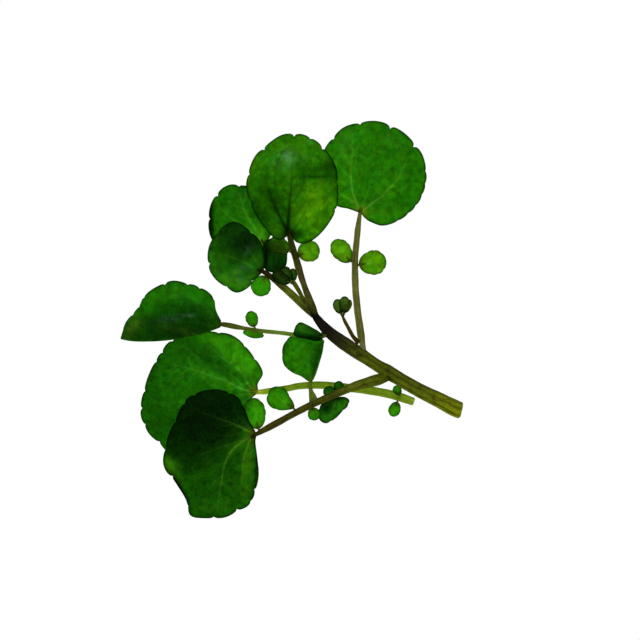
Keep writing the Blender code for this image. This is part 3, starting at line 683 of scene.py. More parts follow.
FRONT_LEAFLETS = [
    leaflet("front_leaf_outer_leaflet", (-8.6, -26.9, 3.2), (-9.9, -19.5, 2.8), 5.2, (-7.9, -27.8, 3.5)),
    shaped_leaflet(
        "front_leaf_middle_leaflet",
        [
            (0.2, -21.8, 3.9), (-1.4, -22.2, 3.8), (-3.3, -22.3, 3.7), (-4.7, -21.9, 3.6),
            (-5.8, -20.9, 3.5), (-6.3, -19.3, 3.5), (-5.5, -17.3, 3.5), (-3.8, -16.5, 3.5),
            (-2.2, -16.9, 3.6), (-1.1, -18.2, 3.7), (-0.3, -19.6, 3.8), (0.3, -20.9, 3.9),
        ],
        (-3.0, -19.6, 4.0),
        (1.0, -22.8, 3.9),
        5.7,
        notches=[(-6.1, -18.4, 0.15), (-3.0, -16.6, 0.2), (-0.7, -19.0, 0.15), (-4.0, -22.1, 0.15)],
    ),
    leaflet("front_leaf_small_leaflet", (4.9, -21.9, 3.4), (5.9, -24.8, 2.8), 3.2, (4.9, -21.0, 4.0), 0.2),
]
CURLED_LEAFLETS = [
    leaflet(
        "front_leaf_curled_upper_leaflet",
        (11.3, -17.9, 2.7), (11.8, -15.2, 3.0), 2.5, (11.0, -18.4, 3.6), 0.1
    ),
    leaflet(
        "front_leaf_curled_side_leaflet",
        (10.9, -18.2, 2.45), (7.8, -17.6, 2.35), 3.0, (10.7, -18.5, 3.6), 0.1
    ),
]
SHOOT_TIP_LEAVES = [
    leaflet("shoot_tip_left_leaf", (-0.7, 9.5, 6.4), (-4.9, 11.6, 6.6), 3.1, (0.2, 9.1, 5.5), 0.2),
    leaflet("shoot_tip_middle_leaf", (-0.3, 10.1, 5.5), (-2.5, 13.3, 5.7), 2.7, (0.1, 9.3, 5.3), 0.2),
    leaflet("shoot_tip_right_leaf", (0.4, 9.9, 4.6), (0.1, 12.9, 4.5), 1.9, (0.1, 9.3, 5.2), 0.15),
]
SIDE_SHOOT_LEAVES = [
    leaflet("side_shoot_left_leaf", (12.0, 1.8, 5.0), (11.0, 5.2, 4.8), 2.6, (12.5, 1.0, 4.9), 0.2),
    leaflet("side_shoot_middle_leaf", (12.8, 2.0, 5.7), (13.1, 5.9, 6.3), 2.8, (12.5, 1.1, 4.9), 0.2),
    leaflet("side_shoot_right_leaf", (13.1, 2.0, 4.3), (14.4, 5.1, 4.1), 1.9, (12.5, 1.0, 4.8), 0.2),
]


# Curves and fields, in millimetres


def smooth_curve(points, positions, closed=False):
    """The places at positions, counted in spans, on a smooth curve through points."""
    count = len(points)
    span_count = count if closed else count - 1
    spans = np.clip(np.floor(positions).astype(int), 0, span_count - 1)
    t = (positions - spans)[..., None]

    def at(steps):
        if closed:
            return points[(spans + steps) % count]
        return points[np.clip(spans + steps, 0, count - 1)]

    before, start, end, after = (at(steps) for steps in (-1, 0, 1, 2))
    return (
        start * 2
        + (end - before) * t
        + (before * 2 - start * 5 + end * 4 - after) * t**2
        + (start * 3 - before - end * 3 + after) * t**3
    ) / 2


def disc_grid(cells):
    """The reach from the middle and the turn round it, from 0 to 1, of a square grid spread on a disc."""
    steps = np.linspace(-1, 1, cells + 1)
    x, y = np.meshgrid(steps, steps)
    reach = np.maximum(abs(x), abs(y))
    with np.errstate(divide="ignore", invalid="ignore"):
        sideways = math.pi / 4 * y / x + np.where(x < 0, math.pi, 0.0)
        upwards = math.pi / 2 - math.pi / 4 * x / y + np.where(y < 0, math.pi, 0.0)
    angle = np.where(abs(x) > abs(y), sideways, upwards)
    angle[reach == 0] = 0.0
    return reach, (angle / math.tau) % 1.0


def arc_lengths(places):
    """The length of a polyline up to each of its points."""
    steps = np.linalg.norm(np.diff(places, axis=0), axis=1)
    return np.concatenate([[0.0], np.cumsum(steps)])


def notch_dents(shares, outline, notches, depth_scale, closed):
    """How far the margin is drawn in at each share of the way along an outline: sharp notches with
    gently swollen lobes between them."""
    arcs = arc_lengths(outline)
    total = arcs[-1]
    line_shares = np.linspace(0, 1, len(outline))
    places = []
    for x, y, depth in notches:
        nearest = np.argmin(np.hypot(outline[:, 0] - x, outline[:, 1] - y))
        places.append((arcs[nearest], depth))
    places.sort()
    arc = np.interp(shares, line_shares, arcs)
    dents = np.zeros_like(arc)
    for place, depth in places:
        away = abs(arc - place)
        if closed:
            away = np.minimum(away, total - away)
        dents += depth * depth_scale * np.exp(-away / NOTCH_WIDTH)
    stops = [place for place, depth in places]
    if closed and stops:
        stops = [stops[-1] - total] + stops + [stops[0] + total]
    for start, end in zip(stops, stops[1:]):
        within = (arc >= start) & (arc <= end)
        swell = LOBE_BULGE * min(1.0, (end - start) / LOBE_LENGTH)
        dents[within] -= swell * np.sin(math.pi * (arc[within] - start) / (end - start))
    return dents


def noise_field(places, size, seed):
    """Smooth noise, about -1 to 1, with features of a given size."""
    flat = places.reshape(-1, places.shape[-1]) / size
    values = [noise.noise((point[0] + seed, point[1] - seed, seed * NOISE_SEED_STEP)) for point in flat]
    return np.array(values).reshape(places.shape[:-1])


def patch_field(places, patches):
    """Soft oval patches over the plan of a blade, each given as its middle, half its length and
    breadth, the degrees that its length is turned from +X, and its amount."""
    field = np.zeros(places.shape[:-1])
    for x, y, half_length, half_breadth, turn, amount in patches:
        cosine, sine = math.cos(math.radians(turn)), math.sin(math.radians(turn))
        right, up = places[..., 0] - x, places[..., 1] - y
        along = (right * cosine + up * sine) / half_length
        across = (up * cosine - right * sine) / half_breadth
        field += amount * np.exp(-(along**2) - across**2)
    return field


def grow_branch(start, heading, bend, taken, reach_at, clearance, step_limit):
    """A vein that grows from start until it nears the margin or meets another vein."""
    route = [np.array(start)]
    for step in range(step_limit):
        heading += bend
        place = route[-1] + VEIN_STEP * np.array((math.cos(heading), math.sin(heading)))
        if reach_at(place) > VEIN_REACH:
            break
        if step > VEIN_FREE_STEPS and np.min(np.hypot(*(taken - place).T)) < clearance:
            break
        route.append(place)
    return np.array(route)


def grow_side_veins(parents, spacing, angle, reach_at, clearance, step_limit, draws):
    """Veins that leave each parent in turn on its left and right, and are as strong as it is."""
    taken = np.vstack([route for strength, route in parents])
    grown = []
    for strength, parent in parents:
        arcs = arc_lengths(parent)
        place = spacing * draws.uniform(*FIRST_VEIN_RANGE)
        side = 1
        while place < arcs[-1] * VEIN_PARENT_SHARE:
            index = int(np.searchsorted(arcs, place))
            ahead = parent[min(index + 1, len(parent) - 1)] - parent[max(index - 1, 0)]
            heading = math.atan2(ahead[1], ahead[0]) + side * angle * draws.uniform(*VEIN_ANGLE_RANGE)
            bend = -side * SIDE_VEIN_BEND * draws.uniform(*VEIN_BEND_RANGE)
            branch = grow_branch(parent[index], heading, bend, taken, reach_at, clearance, step_limit)
            if len(branch) > 2:
                grown.append((max(strength, SIDE_VEIN_STRENGTH), branch))
                taken = np.vstack([taken, branch])
            place += spacing / 2 * draws.uniform(*VEIN_SPACING_RANGE)
            side = -side
    return grown


def grow_veins(ribs, reach_at, size, seed):
    """A blade's ribs, side veins and small veins as three lists of strengths and plan routes."""
    draws = np.random.default_rng(seed)
    veins = [[(strength, smooth_route(rib, VEIN_STEP)) for strength, rib in ribs]]
    for spacing, angle, step_limit in SIDE_VEIN_KINDS:
        spacing *= size
        clearance = spacing * VEIN_CLEARANCE
        parents = sum(veins, [])
        veins.append(grow_side_veins(parents, spacing, angle, reach_at, clearance, step_limit, draws))
    return veins


def smooth_route(points, step):
    """Evenly spaced places on a smooth curve through points."""
    points = np.array(points, float)
    fine = smooth_curve(points, np.linspace(0, len(points) - 1, len(points) * SPAN_SAMPLES))
    arcs = arc_lengths(fine)
    stops = np.linspace(0, arcs[-1], max(3, int(arcs[-1] / step) + 1))
    return np.array([np.interp(stops, arcs, fine[:, axis]) for axis in range(points.shape[1])]).T


def vein_fields(places, veins, size):
    """How strongly a vein shows at each place, and the distance to the nearest one. A vein whose
    strength is above 1 is that much broader."""
    strength = np.zeros(places.shape[:-1])
    nearest = np.full(places.shape[:-1], np.inf)
    for routes, (start_width, end_width), weight in zip(veins, VEIN_WIDTHS, VEIN_WEIGHTS):
        samples = []
        widths = []
        strengths = []
        for share, route in routes:
            fine = smooth_route(route, VEIN_SAMPLE_STEP)
            samples.append(fine)
            widths.append(np.linspace(start_width, end_width, len(fine)) * size * max(1.0, share))
            strengths.append(min(1.0, share) * weight * np.linspace(1, VEIN_FADE, len(fine)))
        if not samples:
            continue
        samples = np.vstack(samples)
        widths = np.concatenate(widths)
        strengths = np.concatenate(strengths)
        tree = kdtree.KDTree(len(samples))
        for index, sample in enumerate(samples):
            tree.insert((sample[0], sample[1], 0.0), index)
        tree.balance()
        flat = places.reshape(-1, places.shape[-1])
        found = [tree.find((place[0], place[1], 0.0)) for place in flat]
        distance = np.array([match[2] for match in found]).reshape(strength.shape)
        match_index = np.array([match[1] for match in found]).reshape(strength.shape)
        falling = np.exp(-((distance / widths[match_index]) ** 2))
        strength = np.maximum(strength, strengths[match_index] * falling)
        nearest = np.minimum(nearest, distance)
    return strength, nearest


# Meshes


def sheet_normals(places):
    """Unit normals of a grid of places, upwards over the first half of its columns."""
    along_rows = np.gradient(places, axis=0)
    along_columns = np.gradient(places, axis=1)
    normals = np.cross(along_columns, along_rows)
    normals /= np.maximum(np.linalg.norm(normals, axis=-1, keepdims=True), TINY)
    upwards = 1.0 if normals[:, : places.shape[1] // 2, 2].mean() > 0 else -1.0
    return normals * upwards, upwards


def add_object(name, data):
    """A new object in the scene's collection."""
    added = bpy.data.objects.new(name, data)
    bpy.context.scene.collection.objects.link(added)
    return added


def sheet_object(name, places, thickness, upper_relief, lower_relief, masks, material):
    """A closed sheet round a grid of places, with two walls, a rounded rim and masks on its points."""
    row_count, column_count = places.shape[:2]
    normals, upwards = sheet_normals(places)
    upper = places + normals * (thickness / 2 + upper_relief)[..., None]
    lower = places - normals * (thickness / 2 + lower_relief)[..., None]
    index = np.arange(row_count * column_count).reshape(row_count, column_count)
    loop = np.concatenate([index[0, :-1], index[:-1, -1], index[-1, :0:-1], index[:0:-1, 0]])
    rows, columns = np.divmod(loop, column_count)
    inner_rows = np.clip(rows, 1, row_count - 2)
    inner_columns = np.clip(columns, 1, column_count - 2)
    outward = places[rows, columns] - places[inner_rows, inner_columns]
    outward /= np.maximum(np.linalg.norm(outward, axis=1, keepdims=True), TINY)
    rim = (upper[rows, columns] + lower[rows, columns]) / 2
    rim += outward * thickness[rows, columns][:, None] / 2
    points = np.vstack([upper.reshape(-1, 3), lower.reshape(-1, 3), rim]) * MM
    points[:, 2] = np.maximum(points[:, 2], FLOOR_CLEARANCE * MM)

    first = index[:-1, :-1].ravel()
    quads = np.stack([first, first + 1, first + column_count + 1, first + column_count], axis=1)
    wall_size = row_count * column_count
    rim_index = 2 * wall_size + np.arange(len(loop))
    next_loop, next_rim = np.roll(loop, -1), np.roll(rim_index, -1)
    upper_rim = np.stack([next_loop, loop, rim_index, next_rim], axis=1)
    lower_rim = np.stack([next_rim, rim_index, loop + wall_size, next_loop + wall_size], axis=1)
    faces = np.vstack([quads, quads[:, ::-1] + wall_size, upper_rim, lower_rim])
    if upwards < 0:
        faces = faces[:, ::-1]

    mesh = bpy.data.meshes.new(name)
    mesh.from_pydata(points.tolist(), [], faces.tolist())
    for mask, values in masks.items():
        flat = values.ravel()
        attribute = mesh.attributes.new(mask, "FLOAT", "POINT")
        attribute.data.foreach_set("value", np.concatenate([flat, flat, flat[loop]]).astype(np.float32))
    mesh.materials.append(material)
    mesh.shade_smooth()
    return add_object(name, mesh)


def vein_seed(blade):
    """The seed of a blade's random draws, which its name sets."""
    return sum(map(ord, blade.node))


def blade_swell(blade, places, vein_distance, from_margin, settings):
    """How far a blade swells between its veins, and how far its puckers lift it, in millimetres."""
    size = blade.size
    pucker_noise = noise_field(places, PUCKER_SIZE * size, vein_seed(blade) % NOISE_SEED_LIMIT)
    pucker = pucker_noise * settings.pucker_height / MM * size
    quilt = np.minimum(vein_distance / (QUILT_WIDTH * size), 1.0) ** 2 * settings.quilt_height / MM * size
    return quilt * np.clip(from_margin / RELIEF_MARGIN, 0, 1), pucker


def blade_sheet(blade, look, places, base, rim_fade, vein, from_margin, settings, shown=1.0):
    """The sheet of a blade, with its vein relief and masks. rim_fade is 0 at the margin and 1 further
    in, and shown is 0 where a folded blade's far side hides its patches."""
    size = blade.size
    fullness = RIM_THICKNESS_SHARE + (1 - RIM_THICKNESS_SHARE) * rim_fade
    thickness = settings.blade_thickness / MM * fullness
    groove = -settings.groove_depth / MM * vein * size
    rib = settings.rib_height / MM * vein * size
    upper_relief, lower_relief = (rib, groove) if blade.flipped else (groove, rib)
    # The rim mask paints shade along the margin, the rolled mask paints shade on rolled edges, and the
    # tone mask paints light and shade besides the blade's own tone
    masks = {
        "vein": vein,
        "rim": np.exp(-((from_margin / RIM_SHADE_BAND) ** 2)),
        "tone": patch_field(places, blade.tones) * shown,
        "rolled": patch_field(places, blade.rolled),
        "sheen": patch_field(places, blade.sheen) * shown,
        "heel": np.exp(-(np.linalg.norm(places - base, axis=-1) / (HEEL_REACH * size)) ** 2),
    }
    name = piece_name(blade.node)
    return sheet_object(name, places, thickness, upper_relief, lower_relief, masks, leaf_material(look))


def blade_object(blade, look, cells, settings):
    """A blade spread inside its margin, with notches, veins, soft puckers and a thin rim."""
    reach, turn = disc_grid(cells)
    margin_count = len(blade.margin)
    outline = smooth_curve(blade.margin, np.linspace(0, margin_count, SEARCH_STEPS), closed=True)
    edge = smooth_curve(blade.margin, turn * margin_count, closed=True)
    dents = notch_dents(turn, outline, blade.notches, settings.notch_depth, closed=True)
    dents *= min(1.0, blade.size / FULL_NOTCH_SIZE)
    outward = edge[..., :2] - blade.centre[:2]
    edge_radius = np.linalg.norm(outward, axis=-1)
    outward /= edge_radius[..., None]
    edge[..., :2] -= outward * (dents * reach**MARGIN_GRIP)[..., None]
    places = blade.centre + (edge - blade.centre) * reach[..., None]
    places[..., 2] = blade.centre[2] + (edge[..., 2] - blade.centre[2]) * reach**DOME_POWER

    offsets = outline[:, :2] - blade.centre[:2]
    angles = np.arctan2(offsets[:, 1], offsets[:, 0])
    radii = np.hypot(offsets[:, 0], offsets[:, 1])
    order = np.argsort(angles)

    def reach_at(place):
        offset = place - blade.centre[:2]
        angle = math.atan2(offset[1], offset[0])
        return math.hypot(*offset) / np.interp(angle, angles[order], radii[order], period=math.tau)

    veins = grow_veins(blade.ribs, reach_at, blade.size, vein_seed(blade))
    vein, vein_distance = vein_fields(places, veins, blade.size)
    from_margin = (1 - reach) * edge_radius
    quilt, pucker = blade_swell(blade, places, vein_distance, from_margin, settings)
    facing = -1.0 if blade.flipped else 1.0
    places[..., 2] += facing * quilt + pucker
    places[..., 2] -= patch_field(places, blade.creases)
    rim_fade = 1 - reach**RIM_POWER
    return blade_sheet(blade, look, places, blade.margin[0], rim_fade, vein, from_margin, settings)


def folded_ribs(blade, length, width_at):
    """A folded blade's midrib and side ribs, on its flattened sheet."""
    middle, end = FOLD_MIDRIB
    along, across = FOLD_SIDE_BEND
    far_share = blade.profile[-1][0]
    ribs = [(1.0, [(0.0, 0.0), (length * middle, 0.0), (length * end, 0.0)])]
    for margin_share, rise in blade.ribs:
        for side in (-1, 1):
            side_share = margin_share if side > 0 else margin_share * far_share
            reach = side * width_at(length * rise) * side_share
            bend = (length * rise * along, reach * across)
            ribs.append((FOLD_SIDE_STRENGTH, [(0.0, 0.0), bend, (length * rise, reach)]))
    return ribs


def folded_blade_object(blade, look, cells_along, cells_across, settings):
    """A blade doubled along its midrib, with notches, veins and soft puckers."""
    along = np.linspace(0, 1, cells_along + 1)
    crease = smooth_curve(blade.fold, along * (len(blade.fold) - 1))
    outline = smooth_curve(blade.margin, np.linspace(0, 1, SEARCH_STEPS) * (len(blade.margin) - 1))
    edge = smooth_curve(blade.margin, along * (len(blade.margin) - 1))
    section_steps = len(blade.profile) - 1
    section = smooth_curve(blade.profile, np.linspace(0, section_steps, cells_across + 1))
    dents = notch_dents(along, outline, blade.notches, settings.notch_depth, closed=False)
    span = edge - crease
    width = np.linalg.norm(span, axis=1)
    pull = 1 - (dents / width)[:, None] * np.maximum(section[:, 0], 0)[None, :] ** MARGIN_GRIP
    share = section[:, 0][None, :] * pull
    places = crease[:, None, :] + span[:, None, :] * share[..., None]
    places[..., 2] += section[:, 1][None, :]

    far_side = np.arange(cells_across + 1) / cells_across * section_steps > blade.fold_index
    signed = np.where(far_side, -section[:, 0], section[:, 0])[None, :] * width[:, None]
    fold_arcs = arc_lengths(crease)
    flat = np.stack([np.broadcast_to(fold_arcs[:, None], signed.shape), signed], axis=-1)
    far_share = blade.profile[-1][0]

    def width_at(distance):
        return np.interp(distance, fold_arcs, width)

    def reach_at(place):
        if place[0] < 0 or place[0] > fold_arcs[-1]:
            return OFF_SHEET
        full = width_at(place[0])
        return abs(place[1]) / (full if place[1] > 0 else full * far_share)

    ribs = folded_ribs(blade, fold_arcs[-1], width_at)
    veins = grow_veins(ribs, reach_at, blade.size, vein_seed(blade))
    vein, vein_distance = vein_fields(flat, veins, blade.size)
    near_margin = (1 - section[:, 0])[None, :] * width[:, None]
    far_margin = (far_share - section[:, 0])[None, :] * width[:, None]
    from_margin = np.maximum(np.where(far_side[None, :], far_margin, near_margin), 0)
    normals, upwards = sheet_normals(places)
    quilt, pucker = blade_swell(blade, flat, vein_distance, from_margin, settings)
    places = places + normals * (quilt + pucker)[..., None]
    rim_fade = np.clip(from_margin / RELIEF_MARGIN, 0, 1)
    shown = np.where(far_side, 0.0, 1.0)[None, :]
    return blade_sheet(blade, look, places, blade.fold[0], rim_fade, vein, from_margin, settings, shown)


# Node trees


class Nodes:
    """Adds nodes to a tree. An input's value is a number, a colour or the socket that feeds it. Inputs
    that share their name with others on the node, as the Mix node's do, go by their index."""

    def __init__(self, tree):
        self.tree = tree

    def add(self, kind, inputs=None, **settings):
        node = self.tree.nodes.new(kind)
        for name, value in settings.items():
            setattr(node, name, value)
        for name, value in (inputs or {}).items():
            if isinstance(value, bpy.types.NodeSocket):
                self.tree.links.new(value, node.inputs[name])
            else:
                node.inputs[name].default_value = value
        return node

    def maths(self, operation, first, second=0.0):
        return self.add("ShaderNodeMath", {0: first, 1: second}, operation=operation).outputs[0]

    def link(self, output, given):
        self.tree.links.new(output, given)

    def mask(self, name):
        """A piece's own mask, read through Fac so that the export keeps the material whole."""
        node = self.add("ShaderNodeAttribute", attribute_name=name, attribute_type="GEOMETRY")
        return node.outputs["Fac"]

    def blend(self, factor, first, second, blend_type="MIX"):
        """Two colours mixed by a factor, which is held between 0 and 1."""
        inputs = {0: factor, 6: first, 7: second}
        return self.add("ShaderNodeMix", inputs, data_type="RGBA", blend_type=blend_type).outputs[2]

    def remap(self, value, low, high, new_low, new_high):
        inputs = {"Value": value, "From Min": low, "From Max": high, "To Min": new_low, "To Max": new_high}
        return self.add("ShaderNodeMapRange", inputs).outputs["Result"]

    def group(self, make, inputs):
        """The outputs of a shared node group, which has its own input values here."""
        return self.add("ShaderNodeGroup", inputs, node_tree=shared_group(make)).outputs


def shared_group(make):
    """The node group of a function that makes one, made the first time that it is asked for."""
    name = make.__name__.replace("_", " ").title()
    return bpy.data.node_groups.get(name) or make(name)


def empty_nodes(owner):
    """The emptied nodes of a material or a world."""
    owner.use_nodes = True
    owner.node_tree.nodes.clear()
    return Nodes(owner.node_tree)


def new_group(name, kind, inputs, outputs):
    """A node group with named sockets: its Nodes, and the sockets that it is given and puts out."""
    tree = bpy.data.node_groups.new(name, kind)
    for socket, (socket_kind, value) in inputs.items():
        item = tree.interface.new_socket(socket, in_out="INPUT", socket_type=socket_kind)
        if value is not None:
            item.default_value = value
    for socket, socket_kind in outputs.items():
        tree.interface.new_socket(socket, in_out="OUTPUT", socket_type=socket_kind)
    nodes = Nodes(tree)
    return nodes, nodes.add("NodeGroupInput").outputs, nodes.add("NodeGroupOutput").inputs


# Blender's noise stays within about a quarter of its middle, and this brings that to about 1
NOISE_MIDDLE = 0.5
NOISE_GAIN = 4.0

# The mottle: how its patches and its grain mix, and the noise between which its warmth rises
PATCH_WEIGHT = 0.7
GRAIN_WEIGHT = 0.3
GRAIN_FINENESS = 9.0
WARMTH_RAMP = (0.35, 0.65, 0.0, 1.0)

# How far noise bends the fine net's lines
NET_SWAY = 0.0004


def plant_mottle(name):
    """Soft patches and a fine grain, put out as a shade about 1, a height about 0 and a warmth."""
    inputs = {
        "Vector": ("NodeSocketVector", None),
        "Patch Size": ("NodeSocketFloat", 0.003),
        "Depth": ("NodeSocketFloat", 0.3),
    }
    outputs = {"Shade": "NodeSocketFloat", "Height": "NodeSocketFloat", "Warmth": "NodeSocketFloat"}
    nodes, given, result = new_group(name, "ShaderNodeTree", inputs, outputs)
    scale = nodes.maths("DIVIDE", 1.0, given["Patch Size"])
    patch_inputs = {"Vector": given["Vector"], "Scale": scale, "Detail": 5.0, "Roughness": 0.6}
    patches = nodes.add("ShaderNodeTexNoise", patch_inputs).outputs
    warmth = nodes.add("ShaderNodeSeparateColor", {0: patches["Color"]}).outputs[1]
    grain_scale = nodes.maths("MULTIPLY", scale, GRAIN_FINENESS)
    grain_inputs = {"Vector": given["Vector"], "Scale": grain_scale, "Detail": 2.0}
    grain = nodes.add("ShaderNodeTexNoise", grain_inputs).outputs["Fac"]
    patch_part = nodes.maths("MULTIPLY", patches["Fac"], PATCH_WEIGHT)
    both = nodes.maths("ADD", patch_part, nodes.maths("MULTIPLY", grain, GRAIN_WEIGHT))
    centred = nodes.maths("SUBTRACT", both, NOISE_MIDDLE)
    swing = nodes.maths("MULTIPLY", centred, nodes.maths("MULTIPLY", given["Depth"], NOISE_GAIN))
    nodes.link(nodes.maths("ADD", swing, 1.0), result["Shade"])
    nodes.link(centred, result["Height"])
    nodes.link(nodes.remap(warmth, *WARMTH_RAMP), result["Warmth"])
    return nodes.tree


def leaf_net(name):
    """The fine net of veins between a blade's side veins, and a level for each of its cells."""
    inputs = {
        "Vector": ("NodeSocketVector", None),
        "Cell Size": ("NodeSocketFloat", 0.0011),
        "Line Width": ("NodeSocketFloat", 0.12),
    }
    outputs = {"Net": "NodeSocketFloat", "Cells": "NodeSocketFloat"}
    nodes, given, result = new_group(name, "ShaderNodeTree", inputs, outputs)
    scale = nodes.maths("DIVIDE", 1.0, given["Cell Size"])
    sway = nodes.add("ShaderNodeTexNoise", {"Vector": given["Vector"], "Scale": scale}).outputs["Color"]
    sway_inputs = {0: NET_SWAY, 4: given["Vector"], 5: sway}
    bent = nodes.add("ShaderNodeMix", sway_inputs, data_type="VECTOR").outputs[1]
    cell_inputs = {"Vector": bent, "Scale": scale}
    edges = nodes.add("ShaderNodeTexVoronoi", cell_inputs, feature="DISTANCE_TO_EDGE").outputs["Distance"]
    cells = nodes.add("ShaderNodeTexVoronoi", cell_inputs).outputs["Color"]
    nodes.link(nodes.remap(edges, 0.0, given["Line Width"], 1.0, 0.0), result["Net"])
    nodes.link(nodes.add("ShaderNodeSeparateColor", {0: cells}).outputs[0], result["Cells"])
    return nodes.tree


# Leaves: their shared colours, how much light comes through them, and how the noise shows in them
LEAF_SPECULAR = 0.01
LEAF_FACE = (0.04, 0.04, 0.045)
LEAF_SEE_THROUGH = 0.62
LEAF_MOTTLE = {"Patch Size": 0.0023, "Depth": 0.24}
LEAF_BUMP = {"Strength": 0.35, "Distance": 0.00012}
FINE_VEIN_SHARE = 0.2
CELL_SHADE_RAMP = (0.0, 1.0, 0.84, 1.16)
NET_RELIEF = 0.5
SHEEN_ROUGHNESS = 0.38
SHEEN_GRAIN_RAMP = (-0.1, 0.1, 0.2, 1.0)
HEIGHT_RANGE = (-0.2, 0.2)
ROUGHNESS_SPREAD = (0.1, -0.08)
COOL_TINT = (0.8, 0.97, 1.2)
WARM_TINT = (1.12, 1.0, 0.8)
# Painted shade along a blade's margin
RIM_SHADE_COLOUR = (0.03, 0.1, 0.015)
# Painted shade on a blade's rolled edges
ROLLED_SHADE_COLOUR = (0.025, 0.03, 0.012)


@dataclass
class LeafLook:
    """The colours of one kind of leaf. glow is the light that comes through its blade, and light and dark
    replace it where its tone mask is above or below 0: painted light and painted shade, besides the leaf's
    own tone.
    heel is its colour at its base."""

    glow: tuple
    vein: tuple
    vein_share: float
    light: tuple
    dark: tuple
    heel: tuple
    # How strongly painted shade darkens the margin
    rim_share: float = 0.7
    roughness: float = 0.36


LEAF_LOOKS = {
    "clear_leaf": LeafLook(
        glow=(0.165, 0.6, 0.01), vein=(0.56, 0.96, 0.3), vein_share=0.9, light=(0.25, 0.7, 0.02),
        dark=(0.09, 0.42, 0.01), heel=(0.66, 0.84, 0.1),
    ),
    "loose_leaf": LeafLook(
        glow=(0.118, 0.48, 0.012), vein=(0.5, 0.95, 0.32), vein_share=0.85, light=(0.3, 0.84, 0.02),
        dark=(0.07, 0.31, 0.01), heel=(0.6, 0.64, 0.08),
    ),
    "turned_leaf": LeafLook(
        glow=(0.265, 0.73, 0.03), vein=(0.01, 0.03, 0.01), vein_share=0.95, light=(0.48, 0.9, 0.05),
        dark=(0.1, 0.38, 0.02), heel=(0.08, 0.13, 0.02),
    ),
    "shaded_leaf": LeafLook(
        glow=(0.13, 0.52, 0.02), vein=(0.5, 0.95, 0.25), vein_share=0.8, light=(0.25, 0.75, 0.03),
        dark=(0.07, 0.28, 0.015), heel=(0.36, 0.7, 0.05),
    ),
    "cupped_leaf": LeafLook(
        glow=(0.165, 0.55, 0.045), vein=(0.45, 0.9, 0.2), vein_share=0.6, light=(0.34, 0.8, 0.12),
        dark=(0.055, 0.22, 0.03), heel=(0.16, 0.26, 0.04), roughness=0.3,
    ),
    "folded_leaf": LeafLook(
        glow=(0.135, 0.57, 0.02), vein=(0.45, 0.9, 0.2), vein_share=0.5, light=(0.46, 0.72, 0.12),
        dark=(0.2, 0.5, 0.03), heel=(0.36, 0.38, 0.05), roughness=0.3,
    ),
    "front_leaf": LeafLook(
        glow=(0.09, 0.38, 0.01), vein=(0.6, 0.93, 0.25), vein_share=0.85, light=(0.3, 0.67, 0.05),
        dark=(0.035, 0.15, 0.012), heel=(0.38, 0.38, 0.05),
    ),
    "bright_leaf": LeafLook(
        glow=(0.4, 0.8, 0.03), vein=(0.7, 0.98, 0.3), vein_share=0.6, light=(0.58, 0.9, 0.06),
        dark=(0.26, 0.62, 0.02), heel=(0.4, 0.6, 0.05), rim_share=0.5,
    ),
    "small_leaf": LeafLook(
        glow=(0.24, 0.76, 0.02), vein=(0.6, 0.98, 0.3), vein_share=0.6, light=(0.4, 0.88, 0.05),
        dark=(0.1, 0.42, 0.02), heel=(0.36, 0.56, 0.05), rim_share=0.5,
    ),
    "fresh_leaf": LeafLook(
        glow=(0.16, 0.54, 0.06), vein=(0.5, 0.9, 0.25), vein_share=0.6, light=(0.36, 0.82, 0.12),
        dark=(0.04, 0.17, 0.03), heel=(0.12, 0.28, 0.05),
    ),
    "budding_leaf": LeafLook(
        glow=(0.42, 0.6, 0.15), vein=(0.6, 0.9, 0.3), vein_share=0.5, light=(0.55, 0.85, 0.2),
        dark=(0.1, 0.25, 0.05), heel=(0.2, 0.3, 0.06),
    ),
    "tip_leaf": LeafLook(
        glow=(0.25, 0.45, 0.08), vein=(0.5, 0.85, 0.2), vein_share=0.6, light=(0.4, 0.7, 0.15),
        dark=(0.05, 0.14, 0.03), heel=(0.12, 0.22, 0.05),
    ),
    "young_leaf": LeafLook(
        glow=(0.085, 0.31, 0.02), vein=(0.25, 0.7, 0.12), vein_share=0.6, light=(0.14, 0.45, 0.05),
        dark=(0.03, 0.1, 0.02), heel=(0.08, 0.16, 0.04),
    ),
}


def rgba(colour):
    return (*colour, 1.0)


def look_material(look_name, looks, add_nodes):
    """A look's material, made the first time that it is asked for. Its name is kept apart from the
    names of the frame's own materials."""
    name = look_name.replace("_", " ").title()
    material = bpy.data.materials.get(name)
    if material is None:
        material = bpy.data.materials.new(name)
        add_nodes(empty_nodes(material), looks[look_name])
    return material


def add_thin_surface(nodes, colour, see_through, skin_inputs):
    """Ends a material with its skin and the light that comes through it."""
    skin = nodes.add("ShaderNodeBsdfPrincipled", skin_inputs).outputs[0]
    glow = nodes.add("ShaderNodeBsdfTranslucent", {"Color": colour}).outputs[0]
    both = nodes.add("ShaderNodeMixShader", {0: see_through, 1: skin, 2: glow}).outputs[0]
    nodes.add("ShaderNodeOutputMaterial", {"Surface": both})


def leaf_material(look_name):
    """A thin blade: light glows through it, and its face has a soft sheen."""
    return look_material(look_name, LEAF_LOOKS, add_leaf_nodes)


